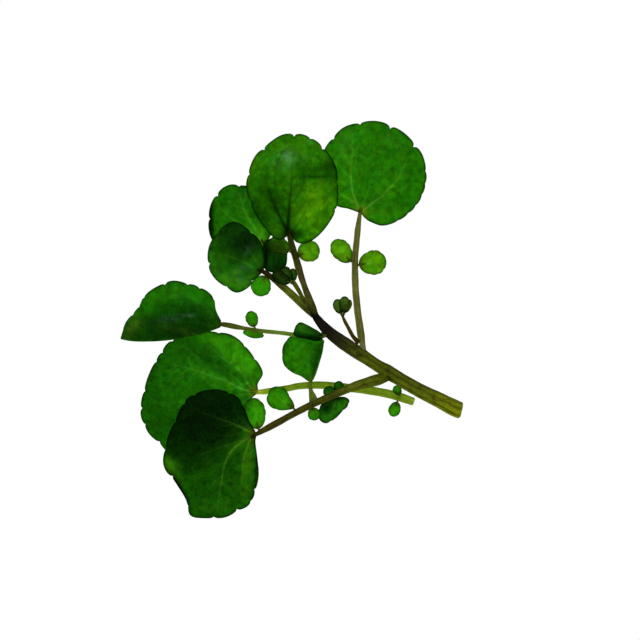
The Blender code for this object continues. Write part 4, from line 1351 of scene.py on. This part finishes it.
def add_leaf_nodes(nodes, look):
    places = nodes.add("ShaderNodeTexCoord").outputs["Object"]
    mottle = nodes.group(plant_mottle, {"Vector": places, **LEAF_MOTTLE})
    net = nodes.group(leaf_net, {"Vector": places})

    tone = nodes.mask("tone")
    veins = nodes.maths("MULTIPLY", nodes.mask("vein"), look.vein_share)
    fine_veins = nodes.maths("MULTIPLY", net["Net"], FINE_VEIN_SHARE * look.vein_share)
    cells = nodes.remap(net["Cells"], *CELL_SHADE_RAMP)
    shade = nodes.maths("MULTIPLY", mottle["Shade"], cells)
    tint = nodes.blend(mottle["Warmth"], rgba(COOL_TINT), rgba(WARM_TINT))
    # Painted shade: the rim colour darkens the margin, where the curled edge looks dark against the light
    rim = nodes.maths("MULTIPLY", nodes.mask("rim"), look.rim_share)
    # The tone mask paints light and shade, besides the blade's own tone, with the light and dark colours
    colour = nodes.blend(tone, rgba(look.glow), rgba(look.light))
    colour = nodes.blend(nodes.maths("MULTIPLY", tone, -1.0), colour, rgba(look.dark))
    colour = nodes.blend(nodes.maths("MAXIMUM", veins, fine_veins), colour, rgba(look.vein))
    colour = nodes.blend(1.0, colour, shade, "MULTIPLY")
    colour = nodes.blend(1.0, colour, tint, "MULTIPLY")
    colour = nodes.blend(nodes.mask("heel"), colour, rgba(look.heel))
    colour = nodes.blend(rim, colour, rgba(RIM_SHADE_COLOUR))
    # Painted shade: rolled edges turn near black
    colour = nodes.blend(nodes.mask("rolled"), colour, rgba(ROLLED_SHADE_COLOUR))

    grain = nodes.remap(mottle["Height"], *SHEEN_GRAIN_RAMP)
    roughness_ends = [look.roughness + spread for spread in ROUGHNESS_SPREAD]
    net_height = nodes.maths("MULTIPLY", net["Net"], NET_RELIEF)
    height = nodes.maths("SUBTRACT", mottle["Height"], net_height)
    skin_inputs = {
        "Base Color": nodes.blend(1.0, colour, rgba(LEAF_FACE), "MULTIPLY"),
        "Specular IOR Level": LEAF_SPECULAR,
        "Coat Weight": nodes.maths("MULTIPLY", nodes.mask("sheen"), grain),
        "Coat Roughness": SHEEN_ROUGHNESS,
        "Roughness": nodes.remap(mottle["Height"], *HEIGHT_RANGE, *roughness_ends),
        "Normal": nodes.add("ShaderNodeBump", {**LEAF_BUMP, "Height": height}).outputs["Normal"],
    }
    add_thin_surface(nodes, colour, LEAF_SEE_THROUGH, skin_inputs)


# Stalks: their shared values, and how the masks and streaks turn into shares of their colours
STALK_FACE = (0.24, 0.26, 0.12)
STALK_SPECULAR = 0.06
STALK_MOTTLE = {"Patch Size": 0.0022, "Depth": 0.4}
STALK_BUMP = {"Strength": 0.4, "Distance": 0.0001}
STREAK_STRETCH = 0.22
STREAKS = {"Scale": 2.4, "Detail": 4.0}
# The painted light on one side rises over this range of the side mask
PAINTED_LIT_RANGE = (-0.3, 0.9)
TIP_SHARE = 0.95
ROOT_SHARE = 0.9
STREAK_RAMP = (0.5, 0.72, 0.0, 0.8)
# Painted shade: how the edge colour fills the grooves between the ridges and the flanks
GROOVE_SHADE_RAMP = (0.2, -1.0, 0.0, 0.5)
FLANK_SHADE_RAMP = (0.4, 0.95, 0.0, 0.9)
STALK_ROUGHNESS_RAMP = (0.3, 0.7, 0.37, 0.57)


@dataclass
class StalkLook:
    """The colours of one kind of stalk. pale is painted light on the side that its lit direction points
    to, and edge is painted shade on its flanks and in its grooves.
    root fades out over root_reach, and tip fades in over tip_span, both in millimetres from its first end.
    Without a tip it stays the colour of its flesh."""

    flesh: tuple
    pale: tuple
    edge: tuple
    streak: tuple
    root: tuple
    root_reach: float
    side_share: float = 0.8
    see_through: float = 0.9
    tip: tuple = ()
    tip_span: tuple = (0.0, 1.0)


STALK_LOOKS = {
    "stem": StalkLook(
        flesh=(0.38, 0.43, 0.08), pale=(0.5, 0.58, 0.1), edge=(0.09, 0.07, 0.05),
        streak=(0.1, 0.08, 0.05), root=(0.72, 0.8, 0.06), root_reach=11.0, side_share=0.7,
        tip=(0.11, 0.09, 0.11), tip_span=(28.0, 38.0),
    ),
    "stalk": StalkLook(
        flesh=(0.42, 0.46, 0.1), pale=(0.6, 0.68, 0.16), edge=(0.11, 0.08, 0.05),
        streak=(0.18, 0.14, 0.06), root=(0.46, 0.56, 0.08), root_reach=10.0, side_share=0.8,
        tip=(0.28, 0.27, 0.08), tip_span=(12.0, 30.0),
    ),
    "split_stalk": StalkLook(
        flesh=(0.46, 0.48, 0.2), pale=(0.84, 0.9, 0.42), edge=(0.14, 0.13, 0.05),
        streak=(0.34, 0.32, 0.12), root=(0.86, 0.92, 0.7), root_reach=3.0, side_share=1.0,
    ),
    "brown_stalk": StalkLook(
        flesh=(0.36, 0.3, 0.08), pale=(0.5, 0.46, 0.12), edge=(0.1, 0.08, 0.03),
        streak=(0.2, 0.15, 0.05), root=(0.24, 0.24, 0.06), root_reach=2.0, side_share=0.6,
    ),
    "dark_stalk": StalkLook(
        flesh=(0.36, 0.33, 0.17), pale=(0.48, 0.5, 0.22), edge=(0.1, 0.07, 0.05),
        streak=(0.22, 0.16, 0.1), root=(0.46, 0.54, 0.14), root_reach=10.0, side_share=0.6,
        tip=(0.24, 0.32, 0.07), tip_span=(12.0, 17.0),
    ),
    "olive_stalk": StalkLook(
        flesh=(0.43, 0.49, 0.13), pale=(0.52, 0.6, 0.18), edge=(0.12, 0.09, 0.04),
        streak=(0.34, 0.32, 0.08), root=(0.46, 0.54, 0.12), root_reach=6.0, side_share=0.6,
        tip=(0.16, 0.14, 0.07), tip_span=(10.0, 16.0),
    ),
    "thin_stalk": StalkLook(
        flesh=(0.4, 0.56, 0.1), pale=(0.6, 0.76, 0.28), edge=(0.2, 0.24, 0.08), streak=(0.6, 0.74, 0.4),
        root=(0.24, 0.3, 0.08), root_reach=4.0, side_share=0.6, tip=(0.3, 0.31, 0.07),
        tip_span=(14.0, 26.0),
    ),
    "pale_stalk": StalkLook(
        flesh=(0.42, 0.58, 0.09), pale=(0.62, 0.8, 0.18), edge=(0.28, 0.3, 0.06),
        streak=(0.38, 0.46, 0.08), root=(0.76, 0.94, 0.26), root_reach=3.0, side_share=0.6,
        see_through=0.95, tip=(0.8, 0.88, 0.2), tip_span=(36.0, 40.0),
    ),
    "green_stalk": StalkLook(
        flesh=(0.48, 0.6, 0.18), pale=(0.7, 0.82, 0.28), edge=(0.2, 0.24, 0.08),
        streak=(0.34, 0.36, 0.1), root=(0.42, 0.46, 0.2), root_reach=1.5, side_share=0.5,
    ),
}


def stalk_material(look_name):
    """A juicy stalk: streaks run along it, light comes through it, painted light brightens one side and
    painted shade darkens its flanks and grooves.
    """
    return look_material(look_name, STALK_LOOKS, add_stalk_nodes)


def add_stalk_nodes(nodes, look):
    along = nodes.mask("along")
    stretched_inputs = {
        0: nodes.mask("turn_x"),
        1: nodes.mask("turn_y"),
        2: nodes.maths("MULTIPLY", along, STREAK_STRETCH),
    }
    stretched = nodes.add("ShaderNodeCombineXYZ", stretched_inputs).outputs[0]
    streaks = nodes.add("ShaderNodeTexNoise", {"Vector": stretched, **STREAKS}).outputs["Fac"]
    places = nodes.add("ShaderNodeTexCoord").outputs["Object"]
    mottle = nodes.group(plant_mottle, {"Vector": places, **STALK_MOTTLE})

    # Painted light: the pale colour on the side that the painted lit direction points to
    pale = nodes.remap(nodes.mask("side"), *PAINTED_LIT_RANGE, 0.0, look.side_share)
    tip = nodes.remap(along, *look.tip_span, 0.0, TIP_SHARE)
    root = nodes.remap(along, 0.0, look.root_reach, ROOT_SHARE, 0.0)
    colour = nodes.blend(pale, rgba(look.flesh), rgba(look.pale))
    colour = nodes.blend(tip, colour, rgba(look.tip or look.flesh))
    colour = nodes.blend(root, colour, rgba(look.root))
    colour = nodes.blend(nodes.remap(streaks, *STREAK_RAMP), colour, rgba(look.streak))
    # Painted shade: the edge colour in the grooves between the ridges and on the flanks
    colour = nodes.blend(nodes.remap(nodes.mask("ridge"), *GROOVE_SHADE_RAMP), colour, rgba(look.edge))
    colour = nodes.blend(nodes.remap(nodes.mask("flank"), *FLANK_SHADE_RAMP), colour, rgba(look.edge))
    colour = nodes.blend(1.0, colour, mottle["Shade"], "MULTIPLY")

    height = nodes.maths("ADD", streaks, mottle["Height"])
    skin_inputs = {
        "Base Color": nodes.blend(1.0, colour, rgba(STALK_FACE), "MULTIPLY"),
        "Specular IOR Level": STALK_SPECULAR,
        "Roughness": nodes.remap(streaks, *STALK_ROUGHNESS_RAMP),
        "Normal": nodes.add("ShaderNodeBump", {**STALK_BUMP, "Height": height}).outputs["Normal"],
    }
    add_thin_surface(nodes, colour, look.see_through, skin_inputs)


def ribbed_stalk(name):
    """Sweeps a ribbed section along a curve. Where the root is hollow, the cut end opens into a pit."""
    inputs = {
        "Curve": ("NodeSocketGeometry", None),
        "Step": ("NodeSocketFloat", 0.00025),
        "Sides": ("NodeSocketInt", STALK_SIDES),
        "Ridges": ("NodeSocketFloat", 5.0),
        "Ridge Depth": ("NodeSocketFloat", 0.06),
        "Wobble": ("NodeSocketFloat", 0.00008),
        "Wobble Size": ("NodeSocketFloat", 0.003),
        "Hollow Width": ("NodeSocketFloat", 0.0),
        "Hollow Depth": ("NodeSocketFloat", 0.0),
        "Pale Side": ("NodeSocketVector", None),
        "Material": ("NodeSocketMaterial", None),
    }
    nodes, given, result = new_group(name, "GeometryNodeTree", inputs, {"Geometry": "NodeSocketGeometry"})
    add = nodes.add

    def store(geometry, name, value):
        inputs = {"Geometry": geometry, "Name": name, "Value": value}
        return add("GeometryNodeStoreNamedAttribute", inputs, data_type="FLOAT", domain="POINT").outputs[0]

    def scaled(vector, scale):
        return add("ShaderNodeVectorMath", {0: vector, "Scale": scale}, operation="SCALE").outputs[0]

    def both_true(first, second):
        return add("FunctionNodeBooleanMath", {0: first, 1: second}, operation="AND").outputs[0]

    # The route
    route_inputs = {"Curve": given["Curve"], "Length": given["Step"]}
    route = add("GeometryNodeResampleCurve", route_inputs, mode="LENGTH").outputs[0]
    length = nodes.maths("DIVIDE", add("GeometryNodeSplineParameter").outputs["Length"], MM)
    route = store(route, "along", length)

    # The ribbed section
    circle_inputs = {"Resolution": given["Sides"], "Radius": MM}
    section = add("GeometryNodeCurvePrimitiveCircle", circle_inputs).outputs[0]
    place = add("GeometryNodeInputPosition").outputs[0]
    axes = add("ShaderNodeSeparateXYZ", {0: place}).outputs
    angle = nodes.maths("ARCTAN2", axes[1], axes[0])
    ridge = nodes.maths("COSINE", nodes.maths("MULTIPLY", angle, given["Ridges"]))
    section = store(section, "turn_x", nodes.maths("COSINE", angle))
    section = store(section, "turn_y", nodes.maths("SINE", angle))
    section = store(section, "ridge", ridge)
    swell = nodes.maths("ADD", nodes.maths("MULTIPLY", ridge, given["Ridge Depth"]), 1.0)
    section_inputs = {"Geometry": section, "Position": scaled(place, swell)}
    section = add("GeometryNodeSetPosition", section_inputs).outputs[0]

    # The tube, and the pit in its cut end
    radius = add("GeometryNodeInputRadius").outputs[0]
    tube_inputs = {"Curve": route, "Profile Curve": section, "Scale": radius, "Fill Caps": True}
    tube = add("GeometryNodeCurveToMesh", tube_inputs).outputs[0]
    along = add("GeometryNodeInputNamedAttribute", {"Name": "along"}, data_type="FLOAT").outputs[0]
    corners = add("GeometryNodeInputMeshFaceNeighbors").outputs["Vertex Count"]
    cap_inputs = {2: corners, 3: QUAD_CORNERS}
    is_cap = add("FunctionNodeCompare", cap_inputs, data_type="INT", operation="GREATER_THAN").outputs[0]
    is_root = nodes.maths("LESS_THAN", along, CUT_REACH)
    is_hollow = nodes.maths("GREATER_THAN", given["Hollow Width"], SMALLEST_HOLLOW)
    cut = both_true(both_true(is_cap, is_root), is_hollow)
    lip = add("GeometryNodeExtrudeMesh", {"Mesh": tube, "Selection": cut, "Offset Scale": 0.0}).outputs
    rim_inputs = {"Geometry": lip["Mesh"], "Selection": lip["Top"], "Scale": given["Hollow Width"]}
    rim = add("GeometryNodeScaleElements", rim_inputs).outputs[0]
    depth = nodes.maths("MULTIPLY", given["Hollow Depth"], -1.0)
    pit_inputs = {"Mesh": rim, "Selection": lip["Top"], "Offset Scale": depth}
    pit = add("GeometryNodeExtrudeMesh", pit_inputs).outputs["Mesh"]

    # The uneven skin and its masks
    normal = add("GeometryNodeInputNormal").outputs[0]
    scale = nodes.maths("DIVIDE", 1.0, given["Wobble Size"])
    bumps = add("ShaderNodeTexNoise", {"Scale": scale, "Detail": 2.0}).outputs["Fac"]
    swing = nodes.maths("MULTIPLY", given["Wobble"], NOISE_GAIN)
    push = nodes.maths("MULTIPLY", nodes.maths("SUBTRACT", bumps, NOISE_MIDDLE), swing)
    stalk = add("GeometryNodeSetPosition", {"Geometry": pit, "Offset": scaled(normal, push)}).outputs[0]
    # side is how far the normal turns towards the side with painted light, and flank how far it turns
    # sideways, where the material paints shade
    side_inputs = {0: normal, 1: given["Pale Side"]}
    side = add("ShaderNodeVectorMath", side_inputs, operation="DOT_PRODUCT").outputs["Value"]
    stalk = store(stalk, "side", side)
    upright = add("ShaderNodeSeparateXYZ", {0: normal}).outputs[2]
    stalk = store(stalk, "flank", nodes.maths("SUBTRACT", 1.0, nodes.maths("ABSOLUTE", upright)))
    stalk = add("GeometryNodeSetShadeSmooth", {"Geometry": stalk}).outputs[0]
    stalk = add("GeometryNodeRealizeInstances", {"Geometry": stalk}).outputs[0]
    stalk = add("GeometryNodeSetMaterial", {"Geometry": stalk, "Material": given["Material"]}).outputs[0]
    nodes.link(stalk, result["Geometry"])
    return nodes.tree


def piece_name(node):
    """The visual piece's name, which differs from its CAD node's."""
    return f"{node}_detailed"


def route_curve(name, stalk):
    """A poly curve along a stalk's route, whose radii include its swellings."""
    route = smooth_route(stalk.route, ROUTE_STEP)
    shares = np.linspace(0, 1, len(route))
    radii = smooth_curve(np.array(stalk.radii)[:, None], shares * (len(stalk.radii) - 1))[:, 0]
    for x, y, height, half_length in stalk.swellings:
        away = np.hypot(route[:, 0] - x, route[:, 1] - y)
        radii += height * np.exp(-((away / half_length) ** 2))
    arcs = arc_lengths(route)
    from_end = np.minimum(arcs, arcs[-1] - arcs)
    rounding = 1 - (1 - np.clip(from_end / END_ROUNDING, 0, 1)) ** 2
    radii *= END_SHARE + (1 - END_SHARE) * np.sqrt(rounding)
    curve = bpy.data.curves.new(name, "CURVE")
    curve.dimensions = "3D"
    curve.twist_mode = "Z_UP"
    spline = curve.splines.new("POLY")
    spline.points.add(len(route) - 1)
    for point, place, radius in zip(spline.points, route * MM, radii):
        point.co = (*place, 1.0)
        point.radius = radius
    return add_object(name, curve)


def stalk_object(name, stalk, values):
    """The mesh that the Ribbed Stalk tree makes of a stalk's route. values are inputs by name."""
    curve = route_curve(f"{name}_route", stalk)
    sweep = curve.modifiers.new("Ribbed Stalk", "NODES")
    sweep.node_group = shared_group(ribbed_stalk)
    identifiers = {item.name: item.identifier for item in sweep.node_group.interface.items_tree}
    values = {
        "Ridges": float(stalk.ridges),
        "Pale Side": stalk.pale_side,
        "Material": stalk_material(stalk.look),
        **values,
    }
    for socket, value in values.items():
        sweep[identifiers[socket]] = value
    graph = bpy.context.evaluated_depsgraph_get()
    mesh = bpy.data.meshes.new_from_object(curve.evaluated_get(graph), depsgraph=graph)
    mesh.name = name
    bpy.data.objects.remove(curve, do_unlink=True)
    return add_object(name, mesh)


def join_objects(first, second):
    """Joins the second object into the first."""
    with bpy.context.temp_override(
        active_object=first, object=first, selected_editable_objects=[first, second]
    ):
        bpy.ops.object.join()


def finish_piece(piece, node):
    """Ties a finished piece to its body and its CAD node."""
    low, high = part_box(node)
    for corner in piece.bound_box:
        for value, lowest, highest in zip(corner, low, high):
            if value < lowest - NODE_MARGIN * MM or value > highest + NODE_MARGIN * MM:
                raise RuntimeError(f"{piece.name} leaves its node's box at {tuple(corner)}")
    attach(piece, BODY)
    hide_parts(node)


def make_blade(blade, look):
    settings = bpy.context.scene.watercress_leaf
    finish_piece(blade_object(blade, look, settings.blade_cells, settings), blade.node)


def make_folded_blade(blade, look):
    settings = bpy.context.scene.watercress_leaf
    along = settings.blade_cells
    across = int(along * FOLD_CELL_SHARE)
    finish_piece(folded_blade_object(blade, look, along, across, settings), blade.node)


def make_leaflets(blades, look):
    """Small leaflets, each with the short stalk that joins it to its parent stalk."""
    settings = bpy.context.scene.watercress_leaf
    for blade in blades:
        piece = blade_object(blade, look, settings.leaflet_cells, settings)
        base = blade.margin[0]
        inside = base + (blade.centre - base) * LEAFLET_STALK_REACH
        middle = (blade.joint + base) / 2 + np.array((0.0, 0.0, LEAFLET_STALK_ARCH))
        route = [blade.joint, middle, base, inside]
        stalk = Stalk(blade.node, "green_stalk", route, LEAFLET_STALK_RADII, LEAFLET_STALK_RIDGES)
        stalk_piece = stalk_object(f"{blade.node}_stalk_part", stalk, LEAFLET_STALK_INPUTS)
        join_objects(piece, stalk_piece)
        finish_piece(piece, blade.node)


def make_stalk(stalk, **values):
    settings = bpy.context.scene.watercress_stalk
    shared = {"Ridge Depth": settings.ridge_depth, "Wobble": settings.wobble}
    piece = stalk_object(piece_name(stalk.node), stalk, {**shared, **values})
    finish_piece(piece, stalk.node)


# What a user changes


class WatercressLeafSettings(bpy.types.PropertyGroup):
    blade_cells: bpy.props.IntProperty(
        name="Blade Cells", description="Cells along each side of a large blade's grid", default=154,
        min=20, max=180
    )
    leaflet_cells: bpy.props.IntProperty(
        name="Leaflet Cells", description="Cells along each side of a small leaflet's grid", default=36,
        min=8, max=80
    )
    blade_thickness: bpy.props.FloatProperty(
        name="Blade Thickness", description="Thickness of a blade at its middle", default=0.0003,
        min=0.0001, max=0.0006, precision=5, unit="LENGTH", subtype="DISTANCE"
    )
    notch_depth: bpy.props.FloatProperty(
        name="Notch Depth", description="Depth of the notches, as a share of the measured ones",
        default=1.0, min=0.0, max=2.0, subtype="FACTOR"
    )
    quilt_height: bpy.props.FloatProperty(
        name="Quilt Height", description="How far a blade swells between its veins", default=0.00012,
        min=0.0, max=0.0005, precision=5, unit="LENGTH", subtype="DISTANCE"
    )
    pucker_height: bpy.props.FloatProperty(
        name="Pucker Height", description="How far a blade's soft waves rise and fall", default=0.00018,
        min=0.0, max=0.0006, precision=5, unit="LENGTH", subtype="DISTANCE"
    )
    groove_depth: bpy.props.FloatProperty(
        name="Groove Depth", description="Depth of the vein grooves on a blade's upper side",
        default=0.00006, min=0.0, max=0.0002, precision=5, unit="LENGTH", subtype="DISTANCE"
    )
    rib_height: bpy.props.FloatProperty(
        name="Rib Height", description="Height of the ribs on a blade's underside", default=0.0002,
        min=0.0, max=0.0005, precision=5, unit="LENGTH", subtype="DISTANCE"
    )


class WatercressStalkSettings(bpy.types.PropertyGroup):
    ridge_depth: bpy.props.FloatProperty(
        name="Ridge Depth", description="Height of the ridges along a stalk, as a share of its radius",
        default=0.05, min=0.0, max=0.3, subtype="FACTOR"
    )
    wobble: bpy.props.FloatProperty(
        name="Wobble", description="How uneven a stalk's skin is", default=0.00006,
        min=0.0, max=0.0003, precision=5, unit="LENGTH", subtype="DISTANCE"
    )
    hollow_width: bpy.props.FloatProperty(
        name="Hollow Width", description="Width of the hollow at the cut end, as a share of the stem's",
        default=0.55, min=0.0, max=0.9, subtype="FACTOR"
    )
    hollow_depth: bpy.props.FloatProperty(
        name="Hollow Depth", description="Depth of the hollow at the cut end", default=0.0012,
        min=0.0, max=0.004, precision=4, unit="LENGTH", subtype="DISTANCE"
    )


class WatercressStageSettings(bpy.types.PropertyGroup):
    floor_radius: bpy.props.FloatProperty(
        name="Floor Radius", description="Radius of the pale floor", default=3.0, min=0.2, max=10.0,
        unit="LENGTH", subtype="DISTANCE"
    )
    floor_light: bpy.props.FloatProperty(
        name="Floor Light", description="How brightly the floor glows, like a light table", default=1.0,
        min=0.0, max=3.0
    )
    floor_colour: bpy.props.FloatVectorProperty(
        name="Floor Colour", description="Colour of the floor", default=(1.0, 1.0, 1.0), min=0.0, max=1.0,
        subtype="COLOR"
    )


# One operator for each leaf or group of like pieces


class WatercressMainStem(bpy.types.Operator):
    """Builds the cut stem, ribbed, swollen where leaves grow and hollow at its cut end"""

    bl_idname = "watercress.main_stem"
    bl_label = "Main Stem"

    def execute(self, context):
        settings = context.scene.watercress_stalk
        hollow = {"Hollow Width": settings.hollow_width, "Hollow Depth": settings.hollow_depth}
        make_stalk(MAIN_STEM, Sides=STEM_SIDES, **hollow)
        return {"FINISHED"}


class WatercressRightLeaf(bpy.types.Operator):
    """Builds the right leaf: its blade seen from above, two leaflets and a two-toned stalk"""

    bl_idname = "watercress.right_leaf"
    bl_label = "Right Leaf"

    def execute(self, context):
        make_stalk(RIGHT_STALK)
        make_blade(RIGHT_BLADE, "clear_leaf")
        make_leaflets(RIGHT_LEAFLETS, "bright_leaf")
        return {"FINISHED"}


class WatercressTopLeaf(bpy.types.Operator):
    """Builds the top leaf: its blade turned over, so that its dark ribs show, and two leaflets"""

    bl_idname = "watercress.top_leaf"
    bl_label = "Top Leaf"

    def execute(self, context):
        make_stalk(TOP_STALK)
        make_blade(TOP_BLADE, "turned_leaf")
        make_leaflets(TOP_LEAFLETS, "bright_leaf")
        return {"FINISHED"}


class WatercressBackLeaf(bpy.types.Operator):
    """Builds the back leaf, which lies lowest of the upper leaves"""

    bl_idname = "watercress.back_leaf"
    bl_label = "Back Leaf"

    def execute(self, context):
        make_stalk(BACK_STALK)
        make_blade(BACK_BLADE, "shaded_leaf")
        return {"FINISHED"}


class WatercressCuppedLeaf(bpy.types.Operator):
    """Builds the cupped, glossy leaf and its two leaflets"""

    bl_idname = "watercress.cupped_leaf"
    bl_label = "Cupped Leaf"

    def execute(self, context):
        make_stalk(CUPPED_STALK)
        make_blade(CUPPED_BLADE, "cupped_leaf")
        make_leaflets([CUPPED_UPPER_LEAFLET], "young_leaf")
        make_leaflets([CUPPED_LOWER_LEAFLET], "small_leaf")
        return {"FINISHED"}


class WatercressFoldedLeaf(bpy.types.Operator):
    """Builds the leaf that is doubled along its midrib, and its three small leaflets"""

    bl_idname = "watercress.folded_leaf"
    bl_label = "Folded Leaf"

    def execute(self, context):
        make_stalk(FOLDED_STALK)
        make_folded_blade(FOLDED_BLADE, "folded_leaf")
        make_leaflets(FOLDED_LEAFLETS, "small_leaf")
        make_leaflets([FOLDED_BASE_LEAFLET], "fresh_leaf")
        return {"FINISHED"}


class WatercressLooseLeaf(bpy.types.Operator):
    """Builds the loose leaf with its pale stalk and two tiny leaflets"""

    bl_idname = "watercress.loose_leaf"
    bl_label = "Loose Leaf"

    def execute(self, context):
        make_stalk(LOOSE_STALK)
        make_blade(LOOSE_BLADE, "loose_leaf")
        make_leaflets(LOOSE_LEAFLETS, "small_leaf")
        return {"FINISHED"}


class WatercressFrontLeaf(bpy.types.Operator):
    """Builds the front leaf: its big blade, its leaflets and the curled ones at its middle"""

    bl_idname = "watercress.front_leaf"
    bl_label = "Front Leaf"

    def execute(self, context):
        make_stalk(FRONT_STALK)
        make_blade(FRONT_BLADE, "front_leaf")
        make_stalk(LARGE_LEAFLET_STALK)
        make_folded_blade(LARGE_LEAFLET, "clear_leaf")
        make_leaflets(FRONT_LEAFLETS, "small_leaf")
        make_leaflets(CURLED_LEAFLETS, "fresh_leaf")
        make_blade(CURLED_BLADE, "fresh_leaf")
        return {"FINISHED"}


class WatercressYoungShoots(bpy.types.Operator):
    """Builds the growing tip and the side shoot, with their dark young leaves"""

    bl_idname = "watercress.young_shoots"
    bl_label = "Young Shoots"

    def execute(self, context):
        make_stalk(SHOOT_TIP_STALK)
        make_stalk(SIDE_SHOOT_STALK)
        make_leaflets(SHOOT_TIP_LEAVES, "tip_leaf")
        make_leaflets(SIDE_SHOOT_LEAVES, "budding_leaf")
        return {"FINISHED"}


class WatercressStage(bpy.types.Operator):
    """Builds the pale floor, the soft light and the camera"""

    bl_idname = "watercress.stage"
    bl_label = "Stage"

    def execute(self, context):
        make_floor(context.scene.watercress_stage)
        make_lights()
        make_camera()
        return {"FINISHED"}


def make_floor(settings):
    """A pale disc that glows like a light table."""
    mesh = bpy.data.meshes.new("floor")
    disc = bmesh.new()
    bmesh.ops.create_circle(disc, cap_ends=True, segments=FLOOR_SEGMENTS, radius=settings.floor_radius)
    disc.to_mesh(mesh)
    disc.free()
    material = bpy.data.materials.new("pale_floor")
    nodes = empty_nodes(material)
    glow_inputs = {"Color": rgba(settings.floor_colour), "Strength": settings.floor_light}
    glow = nodes.add("ShaderNodeEmission", glow_inputs).outputs[0]
    nodes.add("ShaderNodeOutputMaterial", {"Surface": glow})
    mesh.materials.append(material)
    add_object("floor", mesh)


def make_lights():
    """A pale backdrop that lights the leaves only faintly, so that the floor's glow comes through them,
    and broad soft lights above whose sheen shows on the blades."""
    world = bpy.data.worlds.new("studio")
    nodes = empty_nodes(world)
    seen = nodes.add("ShaderNodeLightPath").outputs["Is Camera Ray"]
    strength = nodes.remap(seen, 0.0, 1.0, WORLD_LIGHT, 1.0)
    backdrop_inputs = {"Color": rgba(WORLD_COLOUR), "Strength": strength}
    background = nodes.add("ShaderNodeBackground", backdrop_inputs).outputs[0]
    nodes.add("ShaderNodeOutputWorld", {"Surface": background})
    bpy.context.scene.world = world
    for name, place, size, power in SOFT_LIGHTS:
        lamp = bpy.data.lights.new(name, "AREA")
        lamp.size = size
        lamp.energy = power
        lamp.color = LAMP_COLOUR
        lamp_object = add_object(name, lamp)
        lamp_object.location = place
        lamp_object.rotation_mode = "QUATERNION"
        lamp_object.rotation_quaternion = Vector(place).normalized().to_track_quat("Z", "Y")


def make_camera():
    camera = bpy.data.cameras.new("camera")
    camera.lens = LENS
    camera.sensor_width = SENSOR
    camera_object = add_object("camera", camera)
    height = VIEW_WIDTH * MM * LENS / SENSOR
    camera_object.location = (VIEW_CENTRE[0] * MM, VIEW_CENTRE[1] * MM, height)
    bpy.context.scene.camera = camera_object
    bpy.context.scene.view_settings.view_transform = "Standard"


OPERATORS = (
    WatercressMainStem,
    WatercressRightLeaf,
    WatercressTopLeaf,
    WatercressBackLeaf,
    WatercressCuppedLeaf,
    WatercressFoldedLeaf,
    WatercressLooseLeaf,
    WatercressFrontLeaf,
    WatercressYoungShoots,
    WatercressStage,
)

SETTINGS = {
    "watercress_leaf": WatercressLeafSettings,
    "watercress_stalk": WatercressStalkSettings,
    "watercress_stage": WatercressStageSettings,
}


class WatercressPanel(bpy.types.Panel):
    """Lists the watercress operators and their sizes"""

    bl_idname = "VIEW3D_PT_watercress"
    bl_label = "Watercress"
    bl_space_type = "VIEW_3D"
    bl_region_type = "UI"
    bl_category = "Watercress"

    def draw(self, context):
        for settings_name, group in SETTINGS.items():
            settings = getattr(context.scene, settings_name)
            column = self.layout.column(align=True)
            for property_name in group.__annotations__:
                column.prop(settings, property_name)
        for operator in OPERATORS:
            self.layout.operator(operator.bl_idname)


def register():
    for cls in (*SETTINGS.values(), *OPERATORS, WatercressPanel):
        bpy.utils.register_class(cls)
    for name, group in SETTINGS.items():
        setattr(bpy.types.Scene, name, bpy.props.PointerProperty(type=group))


def unregister():
    for name in SETTINGS:
        delattr(bpy.types.Scene, name)
    for cls in (WatercressPanel, *reversed(OPERATORS), *SETTINGS.values()):
        bpy.utils.unregister_class(cls)


def main():
    register()
    for operator in OPERATORS:
        module, name = operator.bl_idname.split(".")
        getattr(getattr(bpy.ops, module), name)()


if __name__ == "__main__":
    main()
